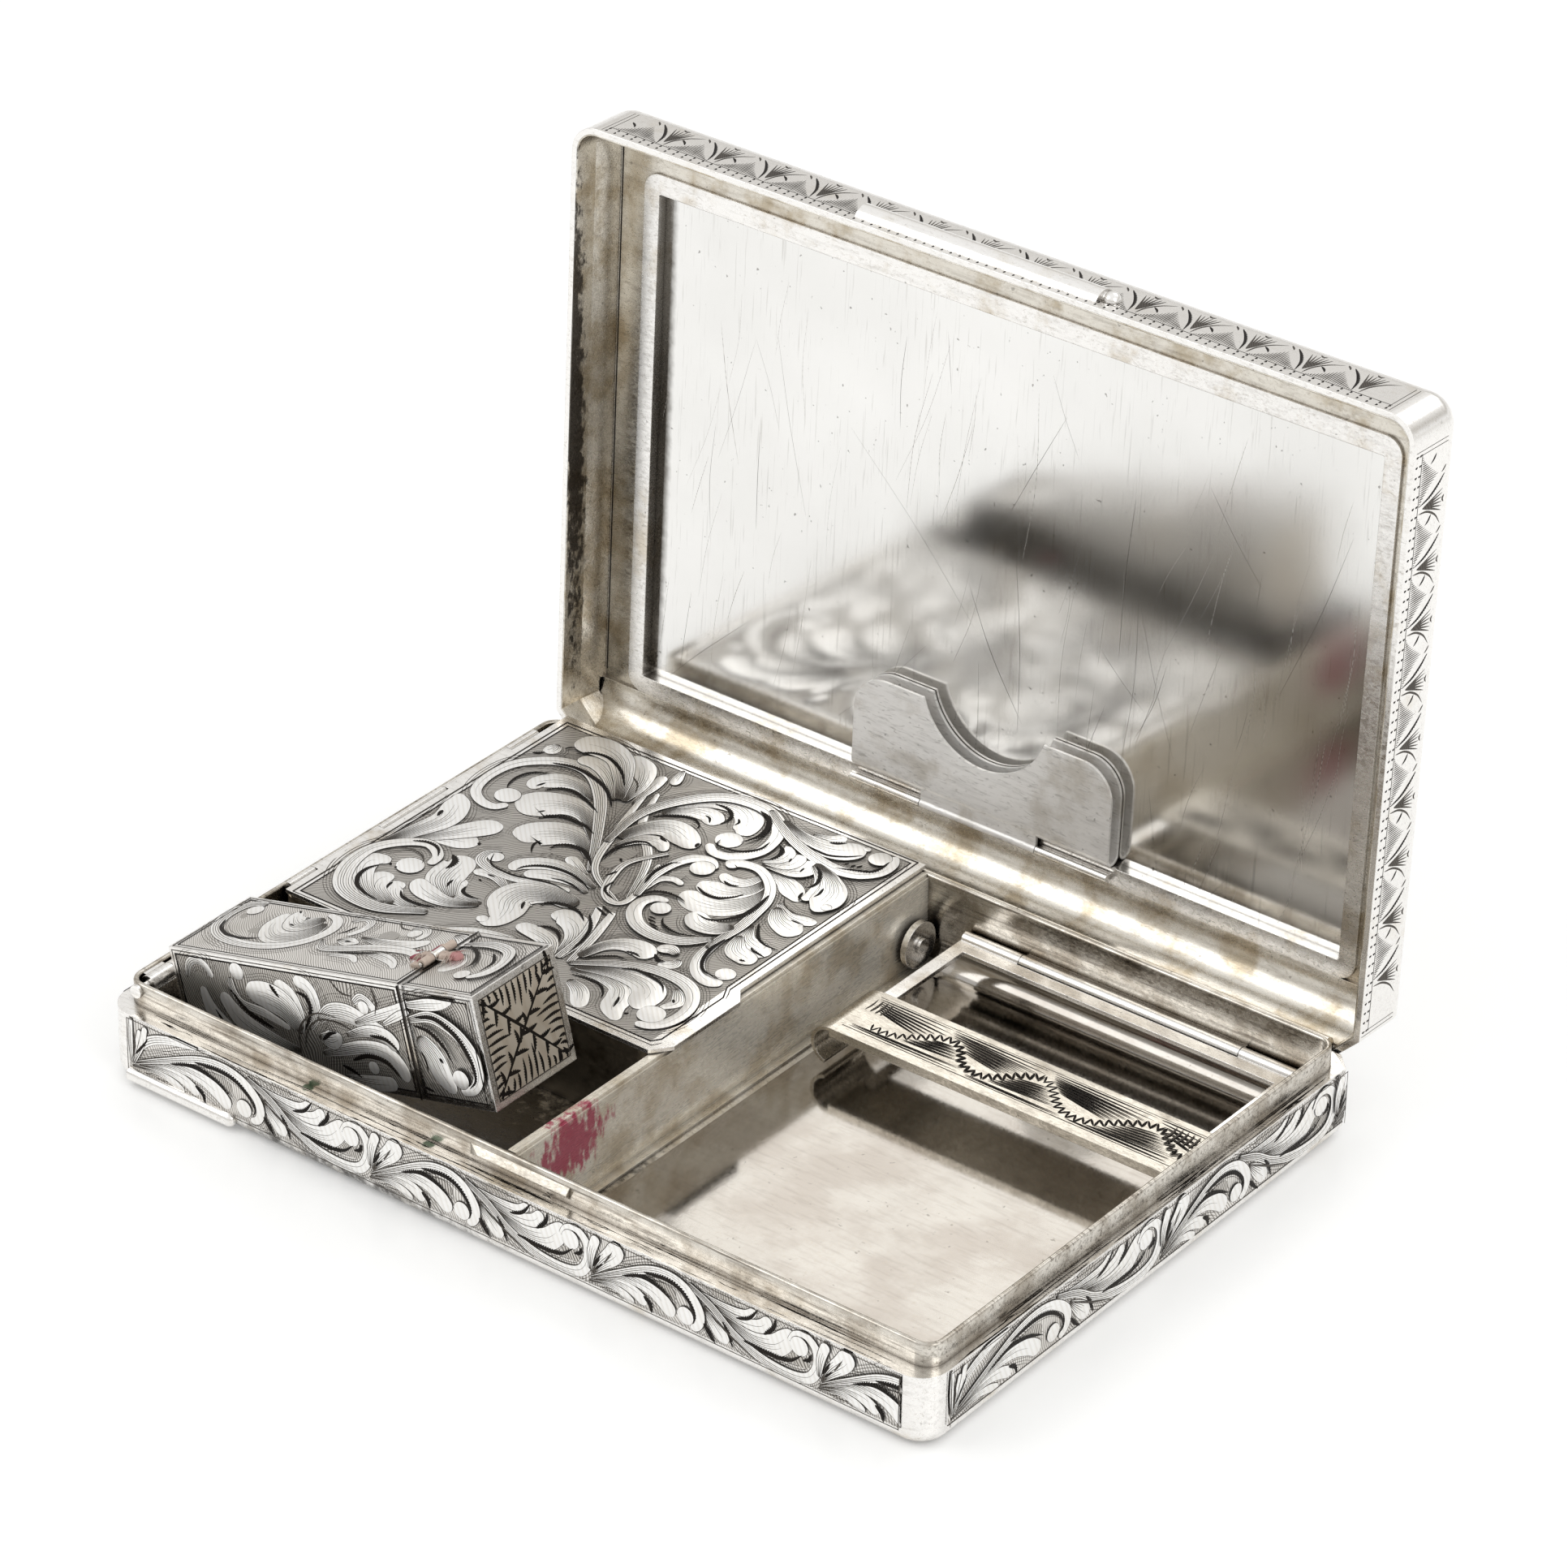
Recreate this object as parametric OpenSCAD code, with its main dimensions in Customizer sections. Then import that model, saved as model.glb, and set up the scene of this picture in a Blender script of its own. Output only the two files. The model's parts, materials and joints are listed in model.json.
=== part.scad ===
// Engraved silver vanity case, standing open: a shallow clamshell with a mirror in its lid,
// a powder box, a sprung lipstick case and a cigarette compartment with a hinged retainer.
// Origin at the centre of the underside, +X right, +Y to the hinge, +Z up. Millimetres.

/* [Case] */
// Width over the side walls, unless the mirror needs more
case_w = 132; // [124:1:150]
// Depth from the front wall to the rear wall
case_d = 92; // [90:1:110]
// Height of the base from the underside to its ledge
base_h = 10.4; // [10:0.1:11.4]
// Thickness of the silver sheet
sheet = 0.8; // [0.6:0.1:0.9]
// Radius of the two upright front corners
corner_r = 4; // [3:0.5:6]
// Cut across the two upright rear corners
rear_chamfer = 4; // [3.5:0.5:6]
// Rounding of the bottom edge of the base
bottom_r = 2.3; // [1.2:0.1:3]

/* [Bezel] */
// Height of the bezel above the ledge
bezel_rise = 3.3; // [2.6:0.1:3.4]
// Thickness of the bezel wall
bezel_t = 0.8; // [0.7:0.1:1]
// Width of the ledge beside the bezel
side_ledge = 1.4; // [1.3:0.1:2]
// Width of the ledge in front of the bezel
front_ledge = 2.5; // [2.2:0.1:3]
// Radius of the bezel corners
bezel_r = 2.6; // [2:0.1:4]
// Length of the snap catch on the front of the bezel
catch_len = 15.9; // [10:0.5:24]
// Middle of the snap catch from the middle of the case
catch_x = 1.15; // [-10:0.05:10]
// How far the snap catch stands out
catch_proud = 0.8; // [0.4:0.1:0.8]
// Height of the snap catch
catch_h = 1.7; // [1.2:0.1:1.9]

/* [Lid] */
// Height of the lid from rim to top
lid_depth = 10.6; // [10.2:0.1:13]
// Angle that the lid stands open
lid_open = 92.5; // [0:0.5:92.5]
// Gap between the rim of the closed lid and the ledge
rim_gap = 0.1; // [0.05:0.05:0.3]
// Rounding of the top edge of the lid
lid_edge_r = 2.8; // [1.5:0.1:4]
// Setback of the lid's free edge from the front of the base
lid_setback = 0.6; // [0:0.1:0.8]
// Width of the lid's rim
rim_w = 1; // [0.95:0.05:1.05]
// Distance of the lining's fold from the outside of the lid
fold_in = 2.1; // [1.6:0.1:2.4]
// Depth of the step strip below the rim
strip_depth = 8; // [7.9:0.1:8.2]

/* [Hinge] */
// Radius of the main hinge barrel
hinge_r = 1.4; // [1.1:0.05:1.45]
// Number of knuckles along the main hinge
hinge_knuckles = 5; // [3:2:9]
// Radius of the main hinge pin
hinge_pin_r = 0.6; // [0.4:0.05:0.8]
// Radial clearance of a pin in its knuckle
pin_fit = 0.04; // [0.02:0.01:0.08]
// Gap between the ends of two knuckles
knuckle_gap = 0.1; // [0.05:0.05:0.3]

/* [Mirror] */
// Width of the mirror window; the case grows where the window needs more than case_w
window_w = 114.4; // [96:0.1:130]
// Distance from the hinge axis to the near edge of the window
window_near = 7.85; // [7.7:0.05:8.4]
// Distance from the window to the free edge of the lid
window_margin = 10.3; // [10.3:0.1:14]
// Width of the flat frame round the window
frame_w = 2.5; // [2:0.1:3.4]
// Thickness of the frame plate
frame_t = 0.4; // [0.3:0.1:0.5]
// Thickness of the mirror glass
glass_t = 0.6; // [0.5:0.1:0.7]
// How far the glass reaches under the frame
glass_lap = 0.8; // [0.4:0.1:1]
// Radius of the cove beside the hinge
cove_r = 5.6; // [4:0.1:5.8]

/* [Thumb bars] */
// Length of the bar on the lid's free edge
thumb_len = 37.8; // [20:0.1:60]
// Middle of that bar from the middle of the case
thumb_x = -1.6; // [-12:0.1:12]
// Height of the bar where it meets the wall
thumb_h = 3.9; // [3:0.1:4.4]
// Distance from the lid's rim to the bar
thumb_from_rim = 1.1; // [0.4:0.1:1.6]
// How far the bar stands out
thumb_proud = 1.2; // [0.8:0.1:1.6]
// Length of the half-round nub at the end of a bar
nub_len = 3; // [2:0.1:4]
// Length of the low bar on the base
low_bar_len = 17; // [10:0.5:30]
// Distance of the low bar's outer end from the left side
low_bar_from = 4.2; // [4:0.1:12]
// Radius of the low bar
low_bar_r = 1; // [0.7:0.1:1.3]
// Distance from the underside to the low bar
low_bar_rise = 0.6; // [0.4:0.1:2]

/* [Compartments] */
// Place of the divider's right face from the middle of the case
divider_x = 0.1; // [-2:0.1:2]
// Thickness of the divider
divider_t = 1.8; // [1.4:0.1:2.2]
// Width of the divider's foot
foot_w = 1.2; // [0.8:0.1:1.4]
// Thickness of the divider's foot
foot_t = 0.35; // [0.3:0.05:0.5]
// Slot between the divider's foot and the liner
liner_slot = 1.5; // [1:0.1:2]
// Thickness of the liner of the cigarette compartment
liner_t = 0.5; // [0.4:0.1:0.6]
// Radius of the cove where the liner turns up behind
cove_liner_r = 3.8; // [2:0.1:3.9]
// Radius of the washer on the divider
washer_r = 3.3; // [2.4:0.1:3.5]
// Distance of the washer's centre from the rear wall
washer_from_rear = 3.7; // [3.6:0.1:6]
// Thickness of the washer
washer_t = 0.9; // [0.6:0.1:1]
// Gap between the divider and the washer
washer_off = 0.8; // [0.5:0.1:1]

/* [Powder box] */
// Length of the powder box, front to back
box_len = 56; // [50:1:56]
// Thickness of the powder box walls
box_wall = 0.6; // [0.5:0.1:0.8]
// Height of the powder pan
pan_h = 5; // [3:0.5:8]
// Clearance round the powder pan
pan_gap = 0.4; // [0.3:0.1:0.6]
// Thickness of the powder pan
pan_t = 0.4; // [0.3:0.1:0.5]
// Radius of the powder pan's corners
pan_r = 2; // [1:0.1:3]
// Thickness of the compact lid
plate_t = 0.6; // [0.5:0.1:0.8]
// Width of the finger lip on the compact lid
lip_w = 1.7; // [1:0.1:1.8]
// Length of the finger lip, front to back
lip_len = 16.1; // [10:0.1:24]
// Cut across the free corner of the compact lid
plate_cut = 2.1; // [1:0.1:3]
// Radius of the compact hinge barrel
compact_hinge_r = 0.7; // [0.6:0.05:0.8]
// Length of one knuckle of the compact hinge
compact_knuckle = 13.2; // [8:0.1:13.4]

/* [Retainer] */
// Gap between the retainer and the wall or divider beside it
retainer_side = 0.5; // [0.4:0.1:2]
// Gap between the divider and the retainer
retainer_left = 4.1; // [2.6:0.1:6]
// Height of the retainer's hinge axis above the underside
retainer_z = 7.2; // [6.8:0.1:7.6]
// Radius of the retainer's hinge barrel
retainer_r = 1; // [0.8:0.05:1.05]
// Length of the fixed knuckle of its hinge
retainer_fixed_len = 34.7; // [20:0.1:36]
// Reach from the hinge axis to the front edge of the strap
retainer_reach = 29.3; // [24:0.1:34]
// Width of the strap
strap_w = 11.1; // [8:0.1:14]
// Thickness of the strap
strap_t = 0.5; // [0.4:0.1:0.7]
// Depth of the strap's turned-down front edge
strap_hem = 0.8; // [0.5:0.1:1.2]
// Outer radius of the curls at the strap's ends
curl_r = 2.9; // [2:0.1:3]
// Width of the retainer's arms
arm_w = 2; // [1.5:0.1:3]
// Thickness of the retainer's arms
arm_t = 0.6; // [0.5:0.1:0.8]

/* [Paper clip] */
// Width of the clip
clip_w = 42; // [30:0.2:50]
// Middle of the clip from the middle of the case
clip_x = 0.5; // [-10:0.1:10]
// Height of the clip leaves above the middle of the fold
clip_h = 13.1; // [11:0.1:20]
// Thickness of the clip leaves
clip_t = 0.4; // [0.3:0.05:0.5]
// Outer radius of the clip's fold
clip_fold_r = 1.3; // [1.1:0.05:1.6]
// Radius of the clip's shoulders
clip_shoulder = 5; // [3:0.1:6]
// Half width of the scallop in the clip
scallop_half = 9.8; // [6:0.1:10.4]
// Depth of the scallop in the clip
scallop_deep = 7.2; // [4:0.1:7.6]
// Radius of the clip's hinge barrel
clip_hinge_r = 0.6; // [0.5:0.05:0.65]

/* [Lipstick case] */
// Length of the lipstick case with its cap
stick_case_len = 52.4; // [48:0.1:54]
// Width of the lipstick case
stick_case_w = 15.6; // [14.4:0.1:17]
// Height of the lipstick case
stick_case_h = 15.9; // [14.8:0.1:16.1]
// Length of its cap
cap_len = 12.4; // [10:0.1:16]
// Angle that its lift raises it
stick_lift = 14.3; // [0:0.1:16]
// Thickness of its walls
stick_wall = 0.6; // [0.5:0.1:0.7]
// Gap between the front bezel and the lipstick case
stick_front_gap = 3.9; // [3:0.1:5]
// Radius of its hinge barrel
stick_hinge_r = 1.2; // [1:0.05:1.25]
// Height of its hinge axis above the underside
stick_hinge_z = 12.6; // [12:0.1:12.8]
// Outer radius of the tube inside it
tube_r = 6.4; // [5.6:0.1:6.5]
// Radius of the lipstick
stick_r = 5.4; // [4:0.1:5.4]
// Travel of the lipstick carrier
stick_travel = 10; // [6:0.5:10]
// Distance from the end of its body to the slot for the stud
stick_slot_from = 3; // [2.5:0.1:6]
// Width of the thumb stud
stud_w = 1.6; // [1.2:0.1:2]
// Length of the carrier
carrier_len = 9; // [7:0.5:12]
// Distance from the tip of the lipstick to the seam
stick_short = 4; // [2:0.5:8]

/* [Hidden] */
$fn = 64;

// Cutting allowance through a face
over = 1;
// Clearance between pieces that swing past each other
swing = 0.3;
// Clearance between faces that lie close
close = 0.1;
// Least step that keeps two faces from lying in one plane
nudge = 0.05;
// Thickness of the thin slices between which a leaning wall is drawn
slice = 0.01;
// Half height of the web that joins a barrel to what carries it, as a share of its radius
web_share = 0.7;

silver = [0.86, 0.85, 0.82];
worn = [0.72, 0.68, 0.6];
bright = [0.93, 0.93, 0.91];

front_y = -case_d / 2;
rear_y = case_d / 2;
side_x = max(case_w, window_w + 2 * (frame_w + fold_in + close)) / 2;

// Main hinge: the axis lies on the ledge's level, with its barrel flush with the rear wall
hinge_y = rear_y - hinge_r - nudge;
hinge_z = base_h;
hinge_end_gap = 0.5;
hinge_half = side_x - rear_chamfer - hinge_end_gap;
channel_floor = hinge_z - hinge_r - swing - nudge;
channel_front = hinge_y - hinge_r - close;

// Bezel outline
bezel_half = side_x - side_ledge;
bezel_front = front_y + front_ledge;
channel_ledge = 0.65;
bezel_rear = channel_front - channel_ledge;
bezel_top = base_h + bezel_rise;
bezel_mid = (bezel_front + bezel_rear) / 2;
inner_x = bezel_half - bezel_t;
inner_front = bezel_front + bezel_t;
inner_rear = bezel_rear - bezel_t;
catch_crest = catch_h * 0.47;
catch_drop = 0.8;
inner_foot_r = 0.3;

// Lid, drawn closed and then swung open; depths are measured from its rim
rim_z = base_h + rim_gap;
lid_top = rim_z + lid_depth;
lid_front = front_y + lid_setback;
rim_play = 0.5;
rim_bevel_depth = bezel_rise + rim_play;
frame_face = strip_depth - frame_t;
glass_face = lid_depth - sheet - glass_t;
strip_t = 0.4;
strip_lap = 1.2;
reveal_t = 1.1;
far_band = 0.35;
relief_depth = hinge_r + swing - rim_gap + 3 * nudge;
lid_hollow_r = lid_edge_r - sheet;
window_far = hinge_y - lid_front - window_margin;
window_r = 0.6;
frame_corner_r = 2.5;
cove_end = window_near - frame_w;

// Washer on the divider, with its rivet
washer_rise = 0.6;
washer_y = inner_rear - washer_from_rear;
washer_z = sheet + liner_t + washer_r + washer_rise;
rivet_r = 0.6;
rivet_head_r = 1.1;
rivet_head_t = 0.5;
rivet_neck = 0.2;

// Round of the divider's top edge
divider_round = divider_t / 4;
divider_ease = 0.3;

// Compact hinge along the left side of the powder box
box_front = inner_rear - close - box_len;
box_left = -inner_x + swing;
box_right = divider_x - divider_t - swing;
plate_gap = 0.15;
barrel_gap = 0.2;
compact_z = bezel_top + plate_gap + plate_t - compact_hinge_r;
compact_x = -inner_x + compact_hinge_r + barrel_gap;
compact_first = 5;
compact_last = 6;
compact_from = box_front + compact_first + 2 * swing;
plate_side = 1.1;
plate_front = 0.8;
cut_slope = 1.3;
low_wall = compact_z - compact_hinge_r - barrel_gap;
compact_pin_r = compact_hinge_r * 0.45;

// Retainer
retainer_y = inner_rear - retainer_r - close;
retainer_x0 = divider_x + retainer_left;
retainer_x1 = inner_x - retainer_side;
retainer_mid = (retainer_x0 + retainer_x1) / 2;
strap_front = retainer_y - retainer_reach;
strap_rise = 0.2;
strap_z = retainer_z + strap_rise;
arm_corner_r = 1.2;
curl_turn = 165;
retainer_web = 0.6;
retainer_pin_r = retainer_r * 0.45;

// Paper clip, hinged on the mirror frame's near band
clip_edge_gap = 0.8;
clip_s = window_near - clip_hinge_r - clip_edge_gap;
clip_depth = frame_face - clip_hinge_r - close;
clip_back = glass_face - close;
clip_fold_s = window_near + close + clip_fold_r;
clip_tab_t = 0.5;
clip_foot_t = 0.8;
clip_pin_r = clip_hinge_r * 0.5;
clip_middle_half = clip_w * 0.225;

// Lipstick case, drawn lying flat in its slot and then raised
stick_hinge_x = -inner_x + stick_hinge_r + barrel_gap;
stick_leaf_reach = 1.2;
stick_x0 = stick_hinge_x + stick_hinge_r + stick_leaf_reach;
stick_x1 = stick_x0 + stick_case_len;
seam_x = stick_x1 - cap_len;
stick_y0 = inner_front + stick_front_gap;
stick_y1 = stick_y0 + stick_case_w;
stick_y = (stick_y0 + stick_y1) / 2;
stick_z0 = sheet + swing;
stick_z1 = stick_z0 + stick_case_h;
stick_z = (stick_z0 + stick_z1) / 2;
stick_knuckle_front = 1.5;
stick_knuckle_rear = 3.2;
stick_knuckle_last = 5.3;
stick_knuckle_from = stick_y0 + stick_knuckle_front;
stick_knuckle_to = stick_y1 - stick_knuckle_rear;
stick_pin_r = stick_hinge_r * 0.45;
pin_head_r = 0.9;
pin_head_t = 0.5;
stick_leaf_t = 0.8;
stick_plate_t = 0.5;
stick_plate_down = 4;
stick_plate_up = 2.6;
stick_slot_x = stick_x0 + stick_slot_from;
cap_hinge_r = 0.6;
cap_hinge_z = stick_z1 + cap_hinge_r + close / 2;
cap_knuckle = 2;
cap_leaf = 2;
cap_leaf_t = 0.4;
cap_pin_r = 0.26;
tube_wall = 0.4;
tube_fit = 0.05;
tube_floor = 0.6;
mouth_t = 0.5;
carrier_from = stick_x0 + 2;
carrier_r = tube_r - tube_wall - close;
carrier_floor = 0.5;
stud_head_r = stud_w * 0.75;
stud_head_t = 0.6;
stud_stand = 0.4;
stick_tilt = 45;
stick_slant = 3.7;

// Plan of the case, pulled in all round: round front corners and cut rear corners
module case_plan(inset, front) {
  w = side_x - inset;
  y0 = front + inset;
  y1 = rear_y - inset;
  r = corner_r - inset;
  cut = rear_chamfer - inset * (2 - sqrt(2));
  polygon([[-w, y0 + r], [-w + r, y0], [w - r, y0], [w, y0 + r],
           [w, y1 - cut], [w - cut, y1], [-w + cut, y1], [-w, y1 - cut]]);
  for (side = [-1, 1]) translate([side * (w - r), y0 + r]) circle(r);
}

// Half section of a wall with its foot rounded, from far inside out to reach
module foot_section(inside, reach, high, r) {
  translate([-inside, 0]) square([inside + reach - r, high]);
  translate([-inside, r]) square([inside + reach, high - r]);
  translate([reach - r, r]) circle(r);
}

// Long block with the foot section, whose rounded side faces the given direction
module foot_prism(angle, reach, high, r) {
  long = case_w + case_d;
  rotate([0, 0, angle]) translate([0, long, 0]) rotate([90, 0, 0])
    linear_extrude(2 * long) foot_section(long, reach, high, r);
}

// Solid of the case's plan with its foot edge rounded all round
module dish(inset, front, high, r) {
  y0 = front + inset;
  cr = corner_r - inset;
  diagonal = (side_x + rear_y - rear_chamfer) / sqrt(2) - inset;
  intersection() {
    linear_extrude(high) difference() {
      case_plan(inset, front);
      for (side = [-1, 1]) translate([side * (side_x - inset - cr / 2), y0 + cr / 2])
        square(cr, center = true);
    }
    foot_prism(0, side_x - inset, high, r);
    foot_prism(180, side_x - inset, high, r);
    foot_prism(90, rear_y - inset, high, r);
    foot_prism(270, -y0, high, r);
    foot_prism(45, diagonal, high, r);
    foot_prism(135, diagonal, high, r);
  }
  for (side = [0, 1]) mirror([side, 0, 0]) translate([side_x - inset - cr, y0 + cr, 0])
    rotate([0, 0, -90]) rotate_extrude(angle = 90) intersection() {
      foot_section(0, cr, high, min(r, cr));
      square([cr, high]);
    }
}

// Rounded rectangular ring swept from a section drawn with x = 0 on its outer face
module swept_ring(w, d, r) {
  for (i = [0:3]) {
    reach = (i % 2 == 0 ? w : d) / 2;
    run = (i % 2 == 0 ? d : w) - 2 * r;
    rotate([0, 0, 90 * i]) {
      translate([reach, run / 2, 0]) rotate([90, 0, 0]) linear_extrude(run) children();
      translate([reach - r, run / 2, 0]) rotate_extrude(angle = 90) translate([r, 0]) children();
    }
  }
}

module round_rect(x0, x1, y0, y1, r) {
  translate([x0 + r, y0]) square([x1 - x0 - 2 * r, y1 - y0]);
  translate([x0, y0 + r]) square([x1 - x0, y1 - y0 - 2 * r]);
  for (x = [x0 + r, x1 - r], y = [y0 + r, y1 - r]) translate([x, y]) circle(r);
}

module block(x0, x1, y0, y1, z0, z1) {
  translate([x0, y0, z0]) cube([x1 - x0, y1 - y0, z1 - z0]);
}

// Round bars along X and along Y
module bar_x(x0, x1, y, z, r) {
  translate([x0, y, z]) rotate([0, 90, 0]) cylinder(r = r, h = x1 - x0);
}

module bar_y(y0, y1, x, z, r) {
  translate([x, y1, z]) rotate([90, 0, 0]) cylinder(r = r, h = y1 - y0);
}

// Sheet drawn in x and distance from the hinge, laid at a depth from the closed lid's rim
module lid_sheet(depth0, depth1) {
  translate([0, hinge_y, rim_z + depth0]) mirror([0, 1, 0]) linear_extrude(depth1 - depth0) children();
}

// Section drawn in distance from the hinge and depth from the rim, run along X in the closed lid
module lid_run(x0, x1) {
  translate([x0, hinge_y, rim_z]) rotate([90, 0, 90]) linear_extrude(x1 - x0) mirror([1, 0]) children();
}

// Swings what is drawn in the closed lid open about the main hinge
module opened() {
  translate([0, hinge_y, hinge_z]) rotate([-lid_open, 0, 0]) translate([0, -hinge_y, -hinge_z]) children();
}

// Raises what is drawn in the flat lipstick case about its hinge
module lifted() {
  translate([stick_hinge_x, 0, stick_hinge_z]) rotate([0, -stick_lift, 0])
    translate([-stick_hinge_x, 0, -stick_hinge_z]) children();
}

function hinge_start(i) = -hinge_half + i * 2 * hinge_half / hinge_knuckles;

module base_shell() {
  color(silver) difference() {
    dish(0, front_y, base_h, bottom_r);
    translate([0, 0, sheet]) dish(sheet, front_y, channel_floor - 2 * sheet, inner_foot_r);
    translate([0, 0, sheet]) intersection() {
      dish(sheet, front_y, base_h - 2 * sheet, inner_foot_r);
      block(-side_x, side_x, front_y, bezel_rear, 0, base_h);
    }
    translate([0, bezel_mid, sheet]) linear_extrude(base_h)
      round_rect(-bezel_half, bezel_half, bezel_front - bezel_mid, bezel_rear - bezel_mid, bezel_r);
    block(-hinge_half - swing, hinge_half + swing, channel_front, rear_y + over,
          channel_floor, base_h + over);
    block(-side_x, side_x, hinge_y - swing, rear_y + over, channel_floor, base_h + over);
  }
}

module base_bezel() {
  color(silver) difference() {
    translate([0, bezel_mid, 0]) swept_ring(2 * bezel_half, bezel_rear - bezel_front, bezel_r) {
      translate([-bezel_t, sheet]) square([bezel_t, bezel_top - sheet - bezel_t / 2]);
      translate([-bezel_t / 2, bezel_top - bezel_t / 2]) circle(bezel_t / 2);
    }
    bar_y(bezel_front - over, inner_front + over, stick_hinge_x, stick_hinge_z, stick_pin_r + pin_fit);
  }
}

// Ridge that the lid's front wall snaps over, blunt at its right end and fading at its left
module snap_catch() {
  low = bezel_top - catch_drop - catch_h;
  color(worn) intersection() {
    translate([catch_x - catch_len / 2, bezel_front, low]) rotate([90, 0, 90]) linear_extrude(catch_len)
      polygon([[0, 0], [-catch_proud, catch_crest], [0, catch_h]]);
    linear_extrude(base_h + bezel_top) translate([catch_x, bezel_front])
      polygon([[-catch_len / 2, 0], [-catch_len / 4, -catch_proud - over],
               [catch_len / 2, -catch_proud - over], [catch_len / 2, 0]]);
  }
}

module low_thumb_bar() {
  x0 = -side_x + low_bar_from;
  z = low_bar_r + low_bar_rise;
  color(bright) difference() {
    union() {
      bar_x(x0, x0 + low_bar_len, front_y, z, low_bar_r);
      translate([x0 + low_bar_len, front_y, z]) sphere(low_bar_r);
    }
    dish(0, front_y, base_h, bottom_r);
  }
}

// Liner: a flat floor that turns up behind in a cove
module cigarette_liner() {
  x0 = divider_x + foot_w + liner_slot;
  long = inner_x - x0;
  color(bright) intersection() {
    union() {
      block(x0, inner_x, inner_front, inner_rear - cove_liner_r, sheet, sheet + liner_t);
      translate([x0, inner_rear - cove_liner_r, sheet + cove_liner_r]) rotate([90, 0, 90])
        linear_extrude(long) difference() {
          circle(cove_liner_r);
          circle(cove_liner_r - liner_t);
          translate([-2 * cove_liner_r, 0]) square(4 * cove_liner_r);
          translate([-4 * cove_liner_r, -2 * cove_liner_r]) square(4 * cove_liner_r);
        }
    }
    linear_extrude(base_h) round_rect(-inner_x, inner_x, inner_front, inner_rear, bezel_r - bezel_t);
  }
}

module divider_wall() {
  x0 = divider_x - divider_t;
  color(worn) union() {
    block(x0, divider_x, inner_front, inner_rear, sheet, bezel_top - divider_round);
    block(divider_x, divider_x + foot_w, inner_front, inner_rear, sheet, sheet + foot_t);
    block(x0 + divider_ease, divider_x - divider_ease, inner_front, inner_rear,
          bezel_top - divider_round, bezel_top);
  }
}

module divider_rivet() {
  head_x = divider_x + washer_off + washer_t;
  color(worn) union() {
    bar_x(divider_x, head_x + rivet_neck, washer_y, washer_z, rivet_r);
    bar_x(head_x, head_x + rivet_head_t, washer_y, washer_z, rivet_head_r);
  }
}

module divider_washer() {
  x0 = divider_x + washer_off;
  color(worn) difference() {
    bar_x(x0, x0 + washer_t, washer_y, washer_z, washer_r);
    bar_x(x0 - over, x0 + washer_t + over, washer_y, washer_z, rivet_r + pin_fit);
  }
}

module powder_box() {
  y1 = inner_rear - close;
  corner = bezel_r - bezel_t;
  color(worn) difference() {
    translate([0, 0, sheet]) linear_extrude(bezel_top - close - sheet)
      round_rect(box_left, box_right, box_front, y1, corner);
    translate([0, 0, sheet + box_wall]) linear_extrude(bezel_top)
      round_rect(box_left + box_wall, box_right - box_wall, box_front + box_wall, y1 - box_wall,
                 corner - box_wall);
    block(box_left - over, compact_x + compact_hinge_r + swing, box_front - over, y1 + over,
          low_wall, bezel_top + over);
  }
}

module powder_pan() {
  x0 = box_left + box_wall + pan_gap;
  x1 = box_right - box_wall - pan_gap;
  y0 = box_front + box_wall + pan_gap;
  y1 = inner_rear - close - box_wall - pan_gap;
  z0 = sheet + box_wall;
  color(bright) translate([0, 0, z0]) difference() {
    linear_extrude(pan_h) round_rect(x0, x1, y0, y1, pan_r);
    translate([0, 0, pan_t]) linear_extrude(pan_h)
      round_rect(x0 + pan_t, x1 - pan_t, y0 + pan_t, y1 - pan_t, pan_r - pan_t);
  }
}

// Knuckles of the base, each on a foot that stands on the channel's floor
module base_hinge_knuckles() {
  color(silver) for (i = [0:2:hinge_knuckles - 1]) difference() {
    x0 = hinge_start(i) + knuckle_gap / 2;
    x1 = hinge_start(i + 1) - knuckle_gap / 2;
    union() {
      bar_x(x0, x1, hinge_y, hinge_z, hinge_r);
      block(x0, x1, hinge_y - hinge_r * web_share, hinge_y + hinge_r * web_share, channel_floor, hinge_z);
    }
    bar_x(x0 - over, x1 + over, hinge_y, hinge_z, hinge_pin_r + pin_fit);
  }
}

module main_hinge_pin() {
  color(worn) bar_x(-hinge_half, hinge_half, hinge_y, hinge_z, hinge_pin_r);
}

// Knuckles of the lid, each on a foot that reaches up to the lid's rear wall
module lid_hinge_knuckles() {
  top = rim_z + relief_depth;
  color(silver) opened() for (i = [1:2:hinge_knuckles - 1]) difference() {
    x0 = hinge_start(i) + knuckle_gap / 2;
    x1 = hinge_start(i + 1) - knuckle_gap / 2;
    union() {
      bar_x(x0, x1, hinge_y, hinge_z, hinge_r);
      block(x0, x1, hinge_y, rear_y, hinge_z + hinge_r * 0.4, top);
    }
    bar_x(x0 - over, x1 + over, hinge_y, hinge_z, hinge_pin_r + pin_fit);
  }
}

module retainer_fixed_knuckle() {
  x0 = retainer_mid - retainer_fixed_len / 2;
  x1 = retainer_mid + retainer_fixed_len / 2;
  color(worn) difference() {
    union() {
      bar_x(x0, x1, retainer_y, retainer_z, retainer_r);
      block(x0, x1, retainer_y, inner_rear, retainer_z - retainer_r * retainer_web,
            retainer_z + retainer_r * retainer_web);
    }
    bar_x(x0 - over, x1 + over, retainer_y, retainer_z, retainer_pin_r + pin_fit);
  }
}

module retainer_hinge_pin() {
  color(bright) bar_x(retainer_x0 + curl_r, retainer_x1 - curl_r, retainer_y, retainer_z, retainer_pin_r);
}

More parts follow.
